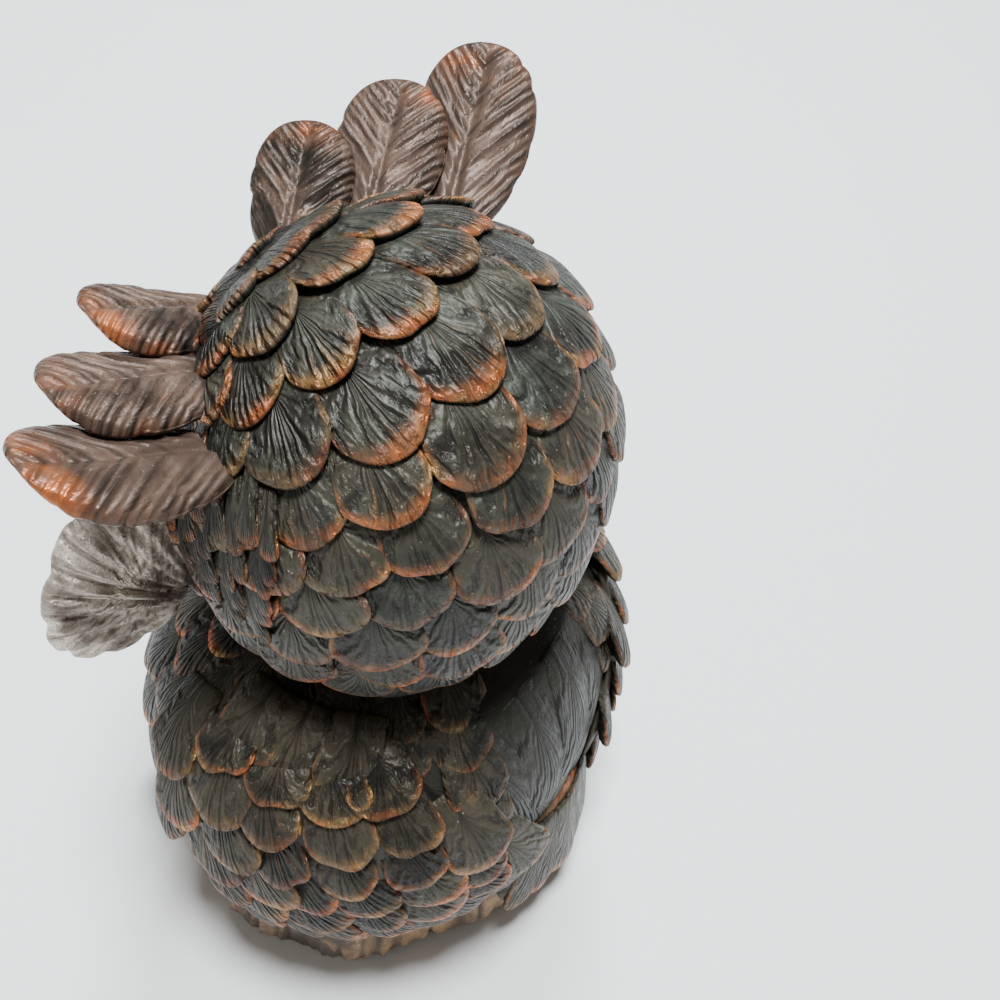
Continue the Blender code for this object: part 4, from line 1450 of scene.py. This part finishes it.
class OWL_OT_felt(OwlOperator, bpy.types.Operator):
    """Gives the felt pad its finish"""

    bl_idname = "owl.felt"
    bl_label = "Felt pad"

    def build(self, scene):
        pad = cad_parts["felt_pad"]
        pad.data.materials.clear()
        pad.data.materials.append(FINISHES["felt"]())


class OWL_OT_body(OwlOperator, bpy.types.Operator):
    """Adds the body with its breast feathers and the blades of its back"""

    bl_idname = "owl.body"
    bl_label = "Body"

    def build(self, scene):
        make_body(scene.owl_sizes)


class OWL_OT_head(OwlOperator, bpy.types.Operator):
    """Adds the head with its hood of feathers"""

    bl_idname = "owl.head"
    bl_label = "Head"

    def build(self, scene):
        make_head(scene.owl_sizes)


class OWL_OT_ears(OwlOperator, bpy.types.Operator):
    """Adds the six ear feathers"""

    bl_idname = "owl.ears"
    bl_label = "Ear feathers"

    def build(self, scene):
        for side, name in ((1, "left"), (-1, "right")):
            for which in EAR_FEATHERS:
                node = f"{name}_ear_feather_{which}"
                add_piece(f"owl_{node}", ear_mesh(which, side), [node], "tuft_patina")


class OWL_OT_cheeks(OwlOperator, bpy.types.Operator):
    """Adds the two cheek fans"""

    bl_idname = "owl.cheeks"
    bl_label = "Cheek fans"

    def build(self, scene):
        for side, name in ((1, "left"), (-1, "right")):
            node = f"{name}_cheek_fan"
            add_piece(f"owl_{node}", cheek_mesh(side), [node], "cheek_bronze")


class OWL_OT_face(OwlOperator, bpy.types.Operator):
    """Adds the face mask, the eyes and the beak"""

    bl_idname = "owl.face"
    bl_label = "Face"

    def build(self, scene):
        make_face()
        make_beak()
        make_eye(1, "left_eye")
        make_eye(-1, "right_eye")


class OWL_OT_wings(OwlOperator, bpy.types.Operator):
    """Adds the two wings"""

    bl_idname = "owl.wings"
    bl_label = "Wings"

    def build(self, scene):
        make_wing(scene.owl_sizes, 1, "left_wing")
        make_wing(scene.owl_sizes, -1, "right_wing")


class OWL_OT_tail(OwlOperator, bpy.types.Operator):
    """Adds the tail"""

    bl_idname = "owl.tail"
    bl_label = "Tail"

    def build(self, scene):
        make_tail()


class OWL_OT_feet(OwlOperator, bpy.types.Operator):
    """Adds the two feet"""

    bl_idname = "owl.feet"
    bl_label = "Feet"

    def build(self, scene):
        make_foot(1, "left_foot")
        make_foot(-1, "right_foot")


class OWL_OT_stage(OwlOperator, bpy.types.Operator):
    """Adds the floor, the lights and the camera"""

    bl_idname = "owl.stage"
    bl_label = "Stage"

    def build(self, scene):
        make_stage(scene.owl_colours)


STEPS = ("stump", "felt", "body", "head", "ears", "cheeks", "face", "wings", "tail", "feet",
         "stage")


class OWL_PT_panel(bpy.types.Panel):
    """Lists the owl's settings and its pieces"""

    bl_idname = "OWL_PT_panel"
    bl_label = "Owl Figurine"
    bl_space_type = "VIEW_3D"
    bl_region_type = "UI"
    bl_category = "Owl"

    def draw(self, context):
        for settings in (context.scene.owl_sizes, context.scene.owl_colours):
            for name in settings.__annotations__:
                self.layout.prop(settings, name)
        for step in STEPS:
            self.layout.operator(f"owl.{step}")


CLASSES = (
    OwlSizes, OwlColours, OWL_OT_stump, OWL_OT_felt, OWL_OT_body, OWL_OT_head, OWL_OT_ears,
    OWL_OT_cheeks, OWL_OT_face, OWL_OT_wings, OWL_OT_tail, OWL_OT_feet, OWL_OT_stage, OWL_PT_panel,
)


def register():
    for item in CLASSES:
        bpy.utils.register_class(item)
    bpy.types.Scene.owl_sizes = bpy.props.PointerProperty(type=OwlSizes)
    bpy.types.Scene.owl_colours = bpy.props.PointerProperty(type=OwlColours)


def unregister():
    del bpy.types.Scene.owl_colours
    del bpy.types.Scene.owl_sizes
    for item in reversed(CLASSES):
        bpy.utils.unregister_class(item)


def main():
    register()
    for step in STEPS:
        getattr(bpy.ops.owl, step)()


if __name__ == "__main__":
    main()
